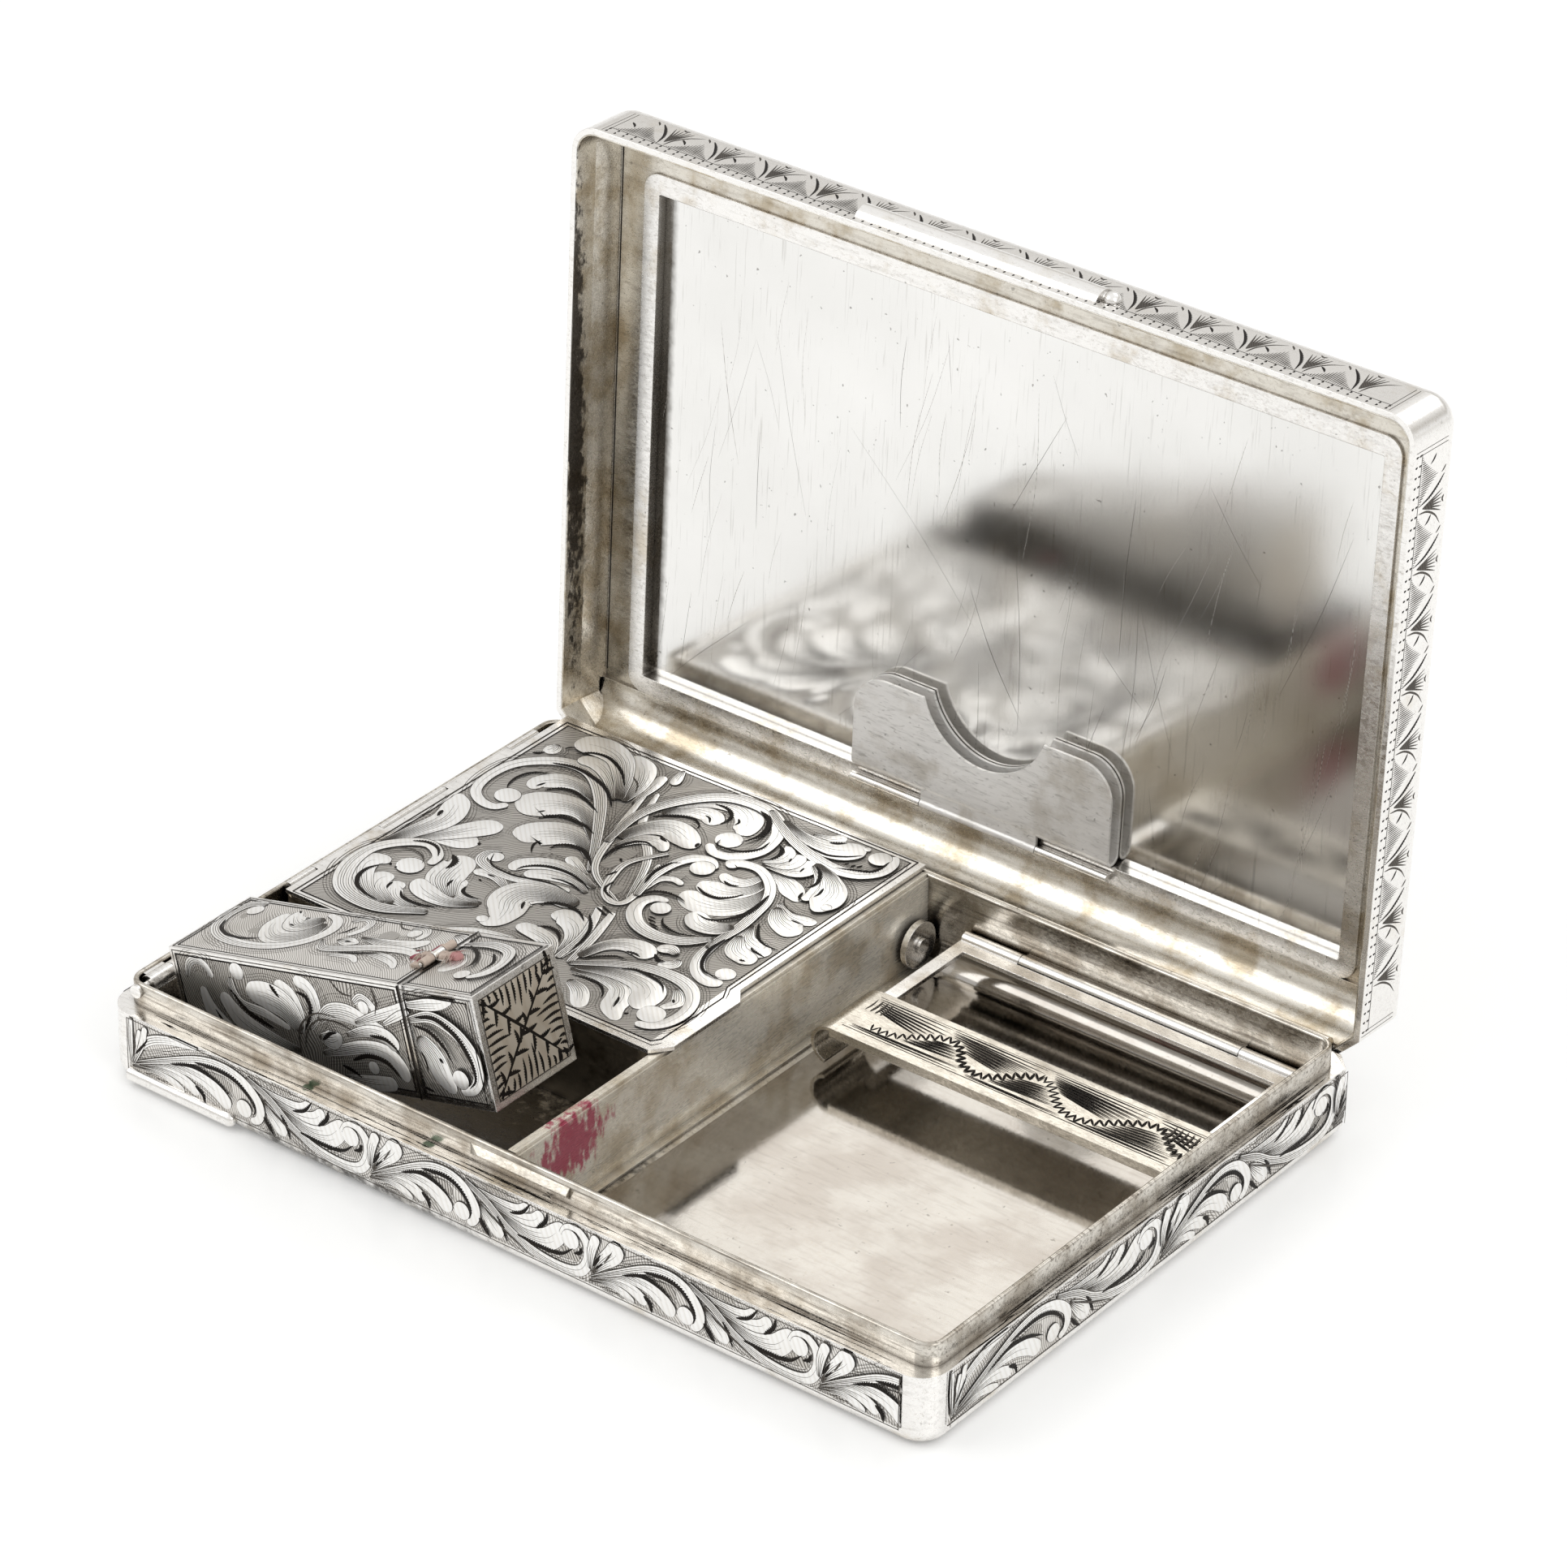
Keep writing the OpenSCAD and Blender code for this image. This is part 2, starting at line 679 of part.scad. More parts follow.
// Two moving knuckles, the leaf between them and the two arms, cut from one sheet
module retainer_frame() {
  x0 = retainer_x0 + curl_r;
  x1 = retainer_x1 - curl_r;
  gap0 = retainer_mid - retainer_fixed_len / 2 - knuckle_gap;
  gap1 = retainer_mid + retainer_fixed_len / 2 + knuckle_gap;
  leaf_rear = retainer_y - retainer_r - barrel_gap;
  leaf_front = leaf_rear - arm_w;
  arm_end = strap_front + strap_w - arm_w;
  z0 = strap_z - arm_t;
  color(silver) difference() {
    union() {
      for (span = [[x0, gap0], [gap1, x1]]) {
        bar_x(span[0], span[1], retainer_y, retainer_z, retainer_r);
        block(span[0], span[1], leaf_rear - arm_w / 2, retainer_y, z0, strap_z);
      }
      translate([0, 0, z0]) linear_extrude(arm_t) difference() {
        round_rect(x0, x1, arm_end - arm_w, leaf_rear, arm_corner_r);
        translate([x0 + arm_w, arm_end - 2 * arm_w])
          square([x1 - x0 - 2 * arm_w, leaf_front - arm_end + 2 * arm_w]);
      }
    }
    bar_x(x0 - over, x1 + over, retainer_y, retainer_z, retainer_pin_r + pin_fit);
  }
}

// Strap with a turned-down front edge, and a curl at each end that springs against the cigarettes
module retainer_strap() {
  x0 = retainer_x0 + curl_r;
  x1 = retainer_x1 - curl_r;
  color(bright) union() {
    block(x0, x1, strap_front, strap_front + strap_w, strap_z, strap_z + strap_t);
    block(x0, x1, strap_front, strap_front + strap_t, strap_z - strap_hem, strap_z);
    for (side = [0, 1]) translate([side == 0 ? x0 : x1, strap_front + strap_w, strap_z + strap_t - curl_r])
      mirror([side, 0, 0]) rotate([90, 0, 0]) rotate([0, 0, 90]) rotate_extrude(angle = curl_turn)
        translate([curl_r - strap_t, 0]) square([strap_t, strap_w]);
  }
}

module lipstick_fixed_knuckles() {
  corner = bezel_r - bezel_t;
  spans = [[inner_front + corner * 0.62, stick_knuckle_from - knuckle_gap],
           [stick_knuckle_to + knuckle_gap, stick_knuckle_to + stick_knuckle_last]];
  color(worn) for (span = spans) difference() {
    union() {
      bar_y(span[0], span[1], stick_hinge_x, stick_hinge_z, stick_hinge_r);
      block(-inner_x, stick_hinge_x, max(span[0], inner_front + corner), span[1],
            stick_hinge_z - stick_hinge_r * web_share, stick_hinge_z + stick_hinge_r * web_share);
    }
    bar_y(span[0] - over, span[1] + over, stick_hinge_x, stick_hinge_z, stick_pin_r + pin_fit);
  }
}

// Pin with a riveted head on the outside of the front bezel
module lipstick_hinge_pin() {
  color(worn) union() {
    bar_y(bezel_front - pin_head_t / 2, stick_knuckle_to + stick_knuckle_last, stick_hinge_x, stick_hinge_z,
          stick_pin_r);
    bar_y(bezel_front - pin_head_t, bezel_front, stick_hinge_x, stick_hinge_z, pin_head_r);
  }
}

module lipstick_hinge_leaf() {
  color(silver) lifted() difference() {
    union() {
      bar_y(stick_knuckle_from, stick_knuckle_to, stick_hinge_x, stick_hinge_z, stick_hinge_r);
      block(stick_hinge_x, stick_x0 - stick_plate_t, stick_knuckle_from, stick_knuckle_to,
            stick_hinge_z - stick_leaf_t / 2, stick_hinge_z + stick_leaf_t / 2);
      block(stick_x0 - stick_plate_t, stick_x0, stick_knuckle_from, stick_knuckle_to,
            stick_hinge_z - stick_plate_down, stick_hinge_z + stick_plate_up);
    }
    bar_y(stick_y0 - over, stick_y1 + over, stick_hinge_x, stick_hinge_z, stick_pin_r + pin_fit);
  }
}

module lipstick_body() {
  color(silver) lifted() difference() {
    block(stick_x0, seam_x - close / 2, stick_y0, stick_y1, stick_z0, stick_z1);
    block(stick_x0 + stick_wall, seam_x + over, stick_y0 + stick_wall, stick_y1 - stick_wall,
          stick_z0 + stick_wall, stick_z1 - stick_wall);
    block(stick_slot_x, stick_slot_x + stick_travel + 2 * stud_w + swing, stick_y1 - stick_wall - over,
          stick_y1 + over, stick_z - stud_w / 2 - swing, stick_z + stud_w / 2 + swing);
  }
}

// Round tube on a square mouth plate that closes the case behind the cap
module lipstick_tube() {
  plate_x = seam_x - close - mouth_t - nudge;
  fit = tube_fit;
  color(bright) lifted() difference() {
    union() {
      bar_x(stick_x0 + stick_wall + fit, plate_x, stick_y, stick_z, tube_r);
      block(plate_x, plate_x + mouth_t, stick_y0 + stick_wall + fit, stick_y1 - stick_wall - fit,
            stick_z0 + stick_wall + fit, stick_z1 - stick_wall - fit);
    }
    bar_x(stick_x0 + stick_wall + tube_floor, seam_x + over, stick_y, stick_z, tube_r - tube_wall);
    block(stick_slot_x, stick_slot_x + stick_travel + 2 * stud_w + swing, stick_y, stick_y1,
          stick_z - stud_w / 2 - swing, stick_z + stud_w / 2 + swing);
  }
}

// Cup that carries the lipstick, with a thumb stud through the slot in the rear of the case
module lipstick_carrier() {
  x0 = carrier_from;
  stud_x = stick_slot_x + swing / 2 + stud_w;
  color(worn) lifted() union() {
    difference() {
      bar_x(x0, x0 + carrier_len, stick_y, stick_z, carrier_r);
      bar_x(x0 + carrier_floor, x0 + carrier_len + over, stick_y, stick_z, stick_r + close / 2);
    }
    intersection() {
      block(stud_x - stud_w / 2, stud_x + stud_w / 2, stick_y, stick_y1 + stud_stand + close,
            stick_z - stud_w / 2, stick_z + stud_w / 2);
      difference() {
        block(stud_x - over - stud_w, stud_x + stud_w + over, stick_y, stick_y1 + over,
              stick_z - stud_w, stick_z + stud_w);
        bar_x(x0 - over, x0 + carrier_len + over, stick_y, stick_z, stick_r + close / 2 + 2 * nudge);
      }
    }
    bar_y(stick_y1 + stud_stand, stick_y1 + stud_stand + stud_head_t, stud_x, stick_z, stud_head_r);
  }
}

module lipstick_stick() {
  x0 = carrier_from + carrier_floor;
  x1 = seam_x - stick_short;
  color("crimson") lifted() difference() {
    bar_x(x0, x1, stick_y, stick_z, stick_r);
    translate([x1, stick_y, stick_z + stick_r]) rotate([0, stick_tilt, 0])
      cube(stick_slant * stick_r, center = true);
  }
}

module lipstick_cap_knuckles() {
  spans = [[stick_y - 1.5 * cap_knuckle - close, stick_y - cap_knuckle / 2 - close],
           [stick_y + cap_knuckle / 2 + close, stick_y + 1.5 * cap_knuckle + close]];
  color(worn) lifted() for (span = spans) difference() {
    union() {
      bar_y(span[0], span[1], seam_x, cap_hinge_z, cap_hinge_r);
      block(seam_x - cap_leaf, seam_x - cap_hinge_r / 2, span[0], span[1], stick_z1, stick_z1 + cap_leaf_t);
    }
    bar_y(span[0] - over, span[1] + over, seam_x, cap_hinge_z, cap_pin_r + pin_fit);
  }
}

module lipstick_cap_pin() {
  half = 1.5 * cap_knuckle + 3 * close;
  color(bright) lifted() bar_y(stick_y - half, stick_y + half, seam_x, cap_hinge_z, cap_pin_r);
}

module lipstick_cap() {
  x0 = seam_x + close / 2;
  color(silver) lifted() difference() {
    union() {
      block(x0, stick_x1, stick_y0, stick_y1, stick_z0, stick_z1);
      bar_y(stick_y - cap_knuckle / 2, stick_y + cap_knuckle / 2, seam_x, cap_hinge_z, cap_hinge_r);
      block(seam_x + cap_hinge_r / 2, seam_x + cap_leaf, stick_y - cap_knuckle / 2, stick_y + cap_knuckle / 2,
            stick_z1, stick_z1 + cap_leaf_t);
    }
    block(x0 - over, stick_x1 - stick_wall, stick_y0 + stick_wall, stick_y1 - stick_wall,
          stick_z0 + stick_wall, stick_z1 - stick_wall);
    bar_y(stick_y0, stick_y1, seam_x, cap_hinge_z, cap_pin_r + pin_fit);
  }
}

function compact_start(i) = compact_from + (i - 1) * compact_knuckle;

// Knuckles on the left wall of the powder box; the two end ones are half as long
module compact_fixed_knuckles() {
  gap = knuckle_gap / 2;
  spans = [[compact_from - compact_first, compact_from - gap],
           [compact_start(2) + gap, compact_start(3) - gap],
           [compact_start(4) + gap, compact_start(4) + compact_last]];
  color(worn) for (span = spans) difference() {
    union() {
      bar_y(span[0], span[1], compact_x, compact_z, compact_hinge_r);
      block(box_left, compact_x, span[0], span[1], low_wall, compact_z);
    }
    bar_y(span[0] - over, span[1] + over, compact_x, compact_z, compact_pin_r + pin_fit);
  }
}

module compact_hinge_pin() {
  color(bright) bar_y(compact_from - compact_first, compact_start(4) + compact_last,
                      compact_x, compact_z, compact_pin_r);
}

// Compact lid: a flat plate with a finger lip beside the divider, one cut corner and two knuckles
module compact_lid() {
  gap = knuckle_gap / 2;
  x0 = compact_x + compact_hinge_r + close;
  x1 = divider_x - plate_side;
  y0 = box_front - plate_front;
  y1 = bezel_rear;
  lip_y = y0 + lip_len;
  z0 = compact_z + compact_hinge_r - plate_t;
  spans = [[compact_start(1) + gap, compact_start(2) - gap],
           [compact_start(3) + gap, compact_start(4) - gap]];
  color(bright) difference() {
    union() {
      translate([0, 0, z0]) linear_extrude(plate_t)
        polygon([[x0, y0], [x1 + lip_w - plate_cut, y0], [x1 + lip_w, y0 + plate_cut * cut_slope],
                 [x1 + lip_w, lip_y], [x1, lip_y + lip_w * cut_slope], [x1, y1], [x0, y1]]);
      for (span = spans) {
        bar_y(span[0], span[1], compact_x, compact_z, compact_hinge_r);
        block(compact_x, x0 + close, span[0], span[1], z0, z0 + plate_t);
      }
    }
    for (span = spans)
      bar_y(span[0] - over, span[1] + over, compact_x, compact_z, compact_pin_r + pin_fit);
  }
}

module closed_lid_dish(inset, high, r) {
  translate([0, 0, lid_top - inset]) mirror([0, 0, 1]) dish(inset, lid_front, high, r);
}

module lid_shell() {
  color(silver) opened() difference() {
    closed_lid_dish(0, lid_depth, lid_edge_r);
    closed_lid_dish(sheet, lid_depth + over, lid_hollow_r);
    block(-hinge_half - swing, hinge_half + swing, hinge_y - hinge_r - swing, rear_y + over,
          rim_z - over, rim_z + relief_depth);
  }
}

// Lining of the lid: side walls that lean in to a fold, the step strip and the cove by the hinge
module lid_lining() {
  color(worn) opened() intersection() {
    closed_lid_dish(sheet, lid_depth, lid_hollow_r);
    union() {
      difference() {
        translate([0, 0, rim_z]) linear_extrude(strip_depth + strip_t) case_plan(sheet, lid_front);
        translate([0, 0, rim_z - over]) linear_extrude(rim_bevel_depth + over) case_plan(rim_w, lid_front);
        hull() {
          translate([0, 0, rim_z + rim_bevel_depth - slice]) linear_extrude(slice)
            case_plan(rim_w, lid_front, $fn = 32);
          translate([0, 0, rim_z + strip_depth - slice]) linear_extrude(slice)
            case_plan(fold_in, lid_front, $fn = 32);
        }
        lid_sheet(strip_depth - over, strip_depth + over)
          round_rect(-window_w / 2 - strip_lap, window_w / 2 + strip_lap, window_near - strip_lap,
                     window_far + strip_lap, window_r);
        block(-hinge_half - swing, hinge_half + swing, hinge_y - hinge_r - swing, rear_y + over,
              rim_z - over, rim_z + relief_depth);
        lid_run(-side_x, side_x) translate([-2 * over, strip_depth - over])
          square([cove_end + 2 * over, 2 * over]);
      }
      lid_run(-side_x, side_x) difference() {
        translate([-2 * over, relief_depth])
          square([cove_end + 2 * over, strip_depth + strip_t - relief_depth]);
        translate([cove_end, frame_face - cove_r]) circle(cove_r);
        translate([cove_end - cove_r, 0]) square([2 * cove_r, frame_face - cove_r]);
      }
    }
  }
}

// Frame of the mirror: a flat plate on the step strip and a reveal down to the glass
module mirror_frame() {
  color(silver) opened() difference() {
    union() {
      lid_sheet(frame_face, strip_depth)
        round_rect(-window_w / 2 - frame_w, window_w / 2 + frame_w, cove_end,
                   window_far + frame_w + far_band, frame_corner_r);
      lid_sheet(strip_depth, glass_face)
        round_rect(-window_w / 2 - reveal_t, window_w / 2 + reveal_t, window_near - reveal_t,
                   window_far + reveal_t, window_r);
    }
    lid_sheet(frame_face - over, glass_face + over)
      round_rect(-window_w / 2, window_w / 2, window_near, window_far, window_r / 2);
  }
}

module mirror_glass() {
  lap = glass_lap;
  color("lightblue") opened() lid_sheet(glass_face, glass_face + glass_t)
    round_rect(-window_w / 2 - lap, window_w / 2 + lap, window_near - lap, window_far + lap, window_r);
}

module lid_thumb_bar() {
  bulge_r = (pow(thumb_h / 2, 2) + pow(thumb_proud, 2)) / (2 * thumb_proud);
  depth = thumb_from_rim + thumb_h / 2;
  x0 = thumb_x - thumb_len / 2;
  y = lid_front + bulge_r - thumb_proud;
  z = rim_z + depth;
  color(bright) opened() difference() {
    union() {
      bar_x(x0, x0 + thumb_len, y, z, bulge_r);
      bar_x(x0 + thumb_len, x0 + thumb_len + nub_len * 0.4, lid_front, z, thumb_proud * 0.75);
      translate([x0 + thumb_len + nub_len * 0.4, lid_front, z]) scale(thumb_proud) sphere(1);
    }
    closed_lid_dish(0, lid_depth, lid_edge_r);
  }
}

module clip_fixed_knuckles() {
  y = hinge_y - clip_s;
  z = rim_z + clip_depth;
  spans = [[clip_x - clip_w / 2, clip_x - clip_middle_half - knuckle_gap],
           [clip_x + clip_middle_half + knuckle_gap, clip_x + clip_w / 2]];
  color(silver) opened() for (span = spans) difference() {
    union() {
      bar_x(span[0], span[1], y, z, clip_hinge_r);
      block(span[0], span[1], y - clip_foot_t / 2, y + clip_foot_t / 2, z, rim_z + frame_face);
    }
    bar_x(span[0] - over, span[1] + over, y, z, clip_pin_r + pin_fit);
  }
}

module clip_hinge_pin() {
  color(bright) opened() bar_x(clip_x - clip_w / 2, clip_x + clip_w / 2,
                               hinge_y - clip_s, rim_z + clip_depth, clip_pin_r);
}

// Outline of one clip leaf: round shoulders either side of a scallop
module clip_outline() {
  half = clip_w / 2;
  top = clip_fold_s + clip_h;
  scallop_r = (pow(scallop_half, 2) + pow(scallop_deep, 2)) / (2 * scallop_deep);
  difference() {
    union() {
      translate([clip_x - half, clip_fold_s]) square([clip_w, clip_h - clip_shoulder]);
      translate([clip_x - half + clip_shoulder, clip_fold_s]) square([clip_w - 2 * clip_shoulder, clip_h]);
      for (side = [-1, 1]) translate([clip_x + side * (half - clip_shoulder), top - clip_shoulder])
        circle(clip_shoulder);
    }
    translate([clip_x, top - scallop_deep + scallop_r]) circle(scallop_r);
  }
}

// Clip: two scalloped leaves joined by a round fold, on one long moving knuckle
module clip_leaf() {
  fold_depth = clip_back - clip_fold_r;
  span = [clip_x - clip_middle_half, clip_x + clip_middle_half];
  color(silver) opened() difference() {
    union() {
      lid_sheet(clip_back - 2 * clip_fold_r, clip_back - 2 * clip_fold_r + clip_t) clip_outline();
      lid_sheet(clip_back - clip_t, clip_back) clip_outline();
      lid_run(clip_x - clip_w / 2, clip_x + clip_w / 2) translate([clip_fold_s, fold_depth])
        difference() {
          circle(clip_fold_r);
          circle(clip_fold_r - clip_t);
          translate([0, -2 * clip_fold_r]) square([2 * clip_fold_r, 4 * clip_fold_r]);
        }
      bar_x(span[0], span[1], hinge_y - clip_s, rim_z + clip_depth, clip_hinge_r);
      lid_run(span[0], span[1]) translate([clip_s, clip_depth - clip_tab_t / 2])
        square([clip_fold_s - clip_s, clip_tab_t]);
    }
    bar_x(span[0] - over, span[1] + over, hinge_y - clip_s, rim_z + clip_depth, clip_pin_r + pin_fit);
  }
}

base_shell();
base_bezel();
snap_catch();
low_thumb_bar();
cigarette_liner();
divider_wall();
divider_rivet();
divider_washer();
powder_box();
powder_pan();
base_hinge_knuckles();
main_hinge_pin();
retainer_fixed_knuckle();
retainer_hinge_pin();
lipstick_fixed_knuckles();
lipstick_hinge_pin();
compact_fixed_knuckles();
compact_hinge_pin();
lid_shell();
lid_lining();
lid_hinge_knuckles();
mirror_frame();
mirror_glass();
lid_thumb_bar();
clip_fixed_knuckles();
clip_hinge_pin();
clip_leaf();
compact_lid();
retainer_frame();
retainer_strap();
lipstick_body();
lipstick_hinge_leaf();
lipstick_tube();
lipstick_cap_knuckles();
lipstick_cap_pin();
lipstick_cap();
lipstick_carrier();
lipstick_stick();
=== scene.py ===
import json
import math
import random

import bmesh
import bpy
import numpy as np
from mathutils import Matrix, Vector


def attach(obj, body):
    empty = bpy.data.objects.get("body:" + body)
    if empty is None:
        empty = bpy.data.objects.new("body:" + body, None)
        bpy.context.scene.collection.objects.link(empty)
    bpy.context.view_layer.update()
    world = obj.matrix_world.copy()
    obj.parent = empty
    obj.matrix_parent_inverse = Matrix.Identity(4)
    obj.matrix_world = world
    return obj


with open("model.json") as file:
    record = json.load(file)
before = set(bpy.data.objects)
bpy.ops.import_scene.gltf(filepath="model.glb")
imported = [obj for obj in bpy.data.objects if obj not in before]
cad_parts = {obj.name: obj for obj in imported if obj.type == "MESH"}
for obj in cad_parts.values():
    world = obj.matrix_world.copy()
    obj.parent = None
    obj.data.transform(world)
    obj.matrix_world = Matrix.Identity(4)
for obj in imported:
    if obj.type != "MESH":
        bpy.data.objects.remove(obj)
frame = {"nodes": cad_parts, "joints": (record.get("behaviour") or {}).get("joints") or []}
nodes = frame["nodes"]
joints = {joint["name"]: joint for joint in frame["joints"]}
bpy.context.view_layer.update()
scene = bpy.context.scene
random.seed(11)
mm = 0.001


def addItem(name, data):
    item = bpy.data.objects.new(name, data)
    scene.collection.objects.link(item)
    return item


# Camera

camera = {
    "azimuth": 37.486,
    "elevation": 30.959,
    "roll": 0.917,
    "distance": 851.98,
    "target": (7.775, -0.006, 49.84),
    "lens": 157.733,
    "sensor": 36.0,
    "nearest": 10.0,
}


def placeCamera(facts):
    turn, rise, roll = (math.radians(facts[key]) for key in ("azimuth", "elevation", "roll"))
    back = Vector((math.sin(turn) * math.cos(rise), -math.cos(turn) * math.cos(rise), math.sin(rise)))
    right = Vector((math.cos(turn), math.sin(turn), 0.0))
    up = back.cross(right)
    tiltedRight = math.cos(roll) * right + math.sin(roll) * up
    tiltedUp = back.cross(tiltedRight)
    data = bpy.data.cameras.new("camera")
    data.lens = facts["lens"]
    data.sensor_width = facts["sensor"]
    data.clip_start = facts["nearest"] * mm
    place = (Vector(facts["target"]) + facts["distance"] * back) * mm
    turned = Matrix((tiltedRight, tiltedUp, back)).transposed().to_4x4()
    scene.camera = addItem("camera", data)
    scene.camera.matrix_world = Matrix.Translation(place) @ turned


placeCamera(camera)
print("camera placed")

# Materials


def linear(code):
    parts = [int(code[i : i + 2], 16) / 255 for i in (1, 3, 5)]
    return (*(c / 12.92 if c <= 0.04045 else ((c + 0.055) / 1.055) ** 2.4 for c in parts), 1.0)


def addNode(tree, kind, inputs=None, **settings):
    # An input is a value, a socket, or a node that passes on its first output in use.
    node = tree.nodes.new("ShaderNode" + kind)
    for key, value in settings.items():
        setattr(node, key, value)
    for key, value in (inputs or {}).items():
        if isinstance(value, bpy.types.Node):
            value = next(socket for socket in value.outputs if socket.enabled)
        if isinstance(value, bpy.types.NodeSocket):
            tree.links.new(value, node.inputs[key])
        else:
            node.inputs[key].default_value = value
    return node


def newMaterial(name):
    # The material, its node tree and the place on the object.
    material = bpy.data.materials.new(name)
    material.use_nodes = True
    tree = material.node_tree
    tree.nodes.clear()
    return material, tree, addNode(tree, "TexCoord").outputs["Object"]


def finishMaterial(tree, inputs):
    addNode(tree, "OutputMaterial", {"Surface": addNode(tree, "BsdfPrincipled", inputs)})


def between(value, levels, high=1.0, low=0.0):
    # Inputs that spread what lies between two levels over low to high.
    return {"Value": value, "From Min": levels[0], "From Max": levels[1], "To Min": low, "To Max": high}


def noiseMask(tree, place, noise, levels, share=1.0, **settings):
    # A noise, and the mask that it makes between two of its levels.
    cloud = addNode(tree, "TexNoise", {"Vector": place, **noise})
    return cloud, addNode(tree, "MapRange", between(cloud, levels, share), **settings)


def layered(tree, code, layers):
    # Tones laid over the first, each through its own mask.
    tone = linear(code)
    for mask, code in layers:
        tone = addNode(tree, "Mix", {0: mask, 6: tone, 7: linear(code)}, data_type="RGBA")
    return tone


def patchMask(tree, place, spot):
    # A ragged patch round a place in millimetres: its share inside, nothing outside.
    scale = [1 / (size * mm) for size in spot["reach"]]
    shift = [-middle / size for middle, size in zip(spot["at"], spot["reach"])]
    moved = addNode(tree, "Mapping", {"Vector": place, "Scale": scale, "Location": shift})
    away = addNode(tree, "VectorMath", {0: moved}, operation="LENGTH")
    brushed = addNode(tree, "Mapping", {"Vector": place, "Scale": spot["grain"]})
    grain = addNode(tree, "TexNoise", {"Vector": brushed, "Scale": 1 / mm, "Detail": 4.0, "Roughness": 0.65})
    ragged = addNode(tree, "Math", {0: grain, 1: spot["ragged"], 2: away}, operation="MULTIPLY_ADD")
    edge = 1 + spot["ragged"] * 0.5
    levels = between(ragged, (edge, edge - spot["soft"]), spot["share"])
    return addNode(tree, "MapRange", levels, interpolation_type="SMOOTHSTEP")


def patchLayers(tree, place, tonePatches):
    return [(patchMask(tree, place, spot), spot["tone"]) for spot in tonePatches]


# Levels are where a noise starts and stops to show; sizes are in millimetres.
wornLook = {
    "clean": "#f3f1ee",
    "film": "#d6cdbf",
    "tarnish": "#5a5045",
    "fleck": "#4a463d",
    "scratchTone": "#a39a8c",
    "cloud": 7.0,
    "filmFrom": 0.5,
    "filmSpread": 0.22,
    "grain": (0.2, 1.4, 1.4),
    "streakLevels": (0.5, 0.74),
    "streaks": 0.2,
    "scratchGrain": (1.1, 3.6, 2.2),
    "scratchLevels": (0.56, 0.72),
    "scratches": 0.3,
    "cornerReach": 1.3,
    "cornerLevels": (0.78, 0.3),
    "corners": 0.8,
    "fleckSize": 0.9,
    "fleckLevels": (0.71, 0.76),
    "flecks": 0.45,
    "roughLevels": (0.3, 0.7),
    "smooth": 0.16,
    "rough": 0.32,
    "edge": 0.15,
    "relief": 0.25,
    "reliefDepth": 0.01,
    "metallic": 1.0,
}


def silver(name, tonePatches=(), **changes):
    # One sheet silver: clean metal, a warm film, dark tarnish in the corners, streaks, specks and listed patches:
    # real stains, and painted shadow where a recess lies in shade.
    look = {**wornLook, **changes}
    material, tree, place = newMaterial(name)
    cloud = {"Scale": 1 / (look["cloud"] * mm), "Detail": 5.0, "Roughness": 0.62}
    filmLevels = look["filmFrom"], look["filmFrom"] + look["filmSpread"]
    film = noiseMask(tree, place, cloud, filmLevels, interpolation_type="SMOOTHSTEP")[1]
    drawn = addNode(tree, "Mapping", {"Vector": place, "Scale": look["grain"]})
    streak = {"Scale": 1 / mm, "Detail": 4.0, "Roughness": 0.6}
    streaks = noiseMask(tree, drawn, streak, look["streakLevels"], look["streaks"])[1]
    corner = addNode(tree, "AmbientOcclusion", {"Distance": look["cornerReach"] * mm}, samples=6)
    corners = addNode(tree, "MapRange", between(corner.outputs["AO"], look["cornerLevels"], look["corners"]))
    dirt = addNode(tree, "Math", {0: streaks, 1: corners}, operation="MAXIMUM")
    fleck = {"Scale": 1 / (look["fleckSize"] * mm), "Detail": 2.0}
    flecks = noiseMask(tree, place, fleck, look["fleckLevels"], look["flecks"])[1]
    rubbed = addNode(tree, "Mapping", {"Vector": place, "Scale": look["scratchGrain"]})
    fine = {"Scale": 1 / mm, "Detail": 3.0, "Distortion": 1.2}
    scratch, scratches = noiseMask(tree, rubbed, fine, look["scratchLevels"], look["scratches"])
    rough = addNode(tree, "MapRange", between(scratch, look["roughLevels"], look["rough"], look["smooth"]))
    edge = addNode(tree, "Bevel", {"Radius": look["edge"] * mm}, samples=4)
    depth = look["reliefDepth"] * mm
    relief = addNode(tree, "Bump", {"Height": scratch, "Strength": look["relief"], "Distance": depth, "Normal": edge})
    layers = [(film, look["film"]), (dirt, look["tarnish"]), (flecks, look["fleck"])]
    layers += [(scratches, look["scratchTone"]), *patchLayers(tree, place, tonePatches)]
    tone = layered(tree, look["clean"], layers)
    finishMaterial(tree, {"Base Color": tone, "Metallic": look["metallic"], "Roughness": rough, "Normal": relief})
    return material


# Shared settings of the ragged patches: real stains, and painted shadow and painted reflection.
patchDefaults = {"grain": (0.6, 0.6, 0.6), "ragged": 1.2, "soft": 0.35, "share": 0.9}
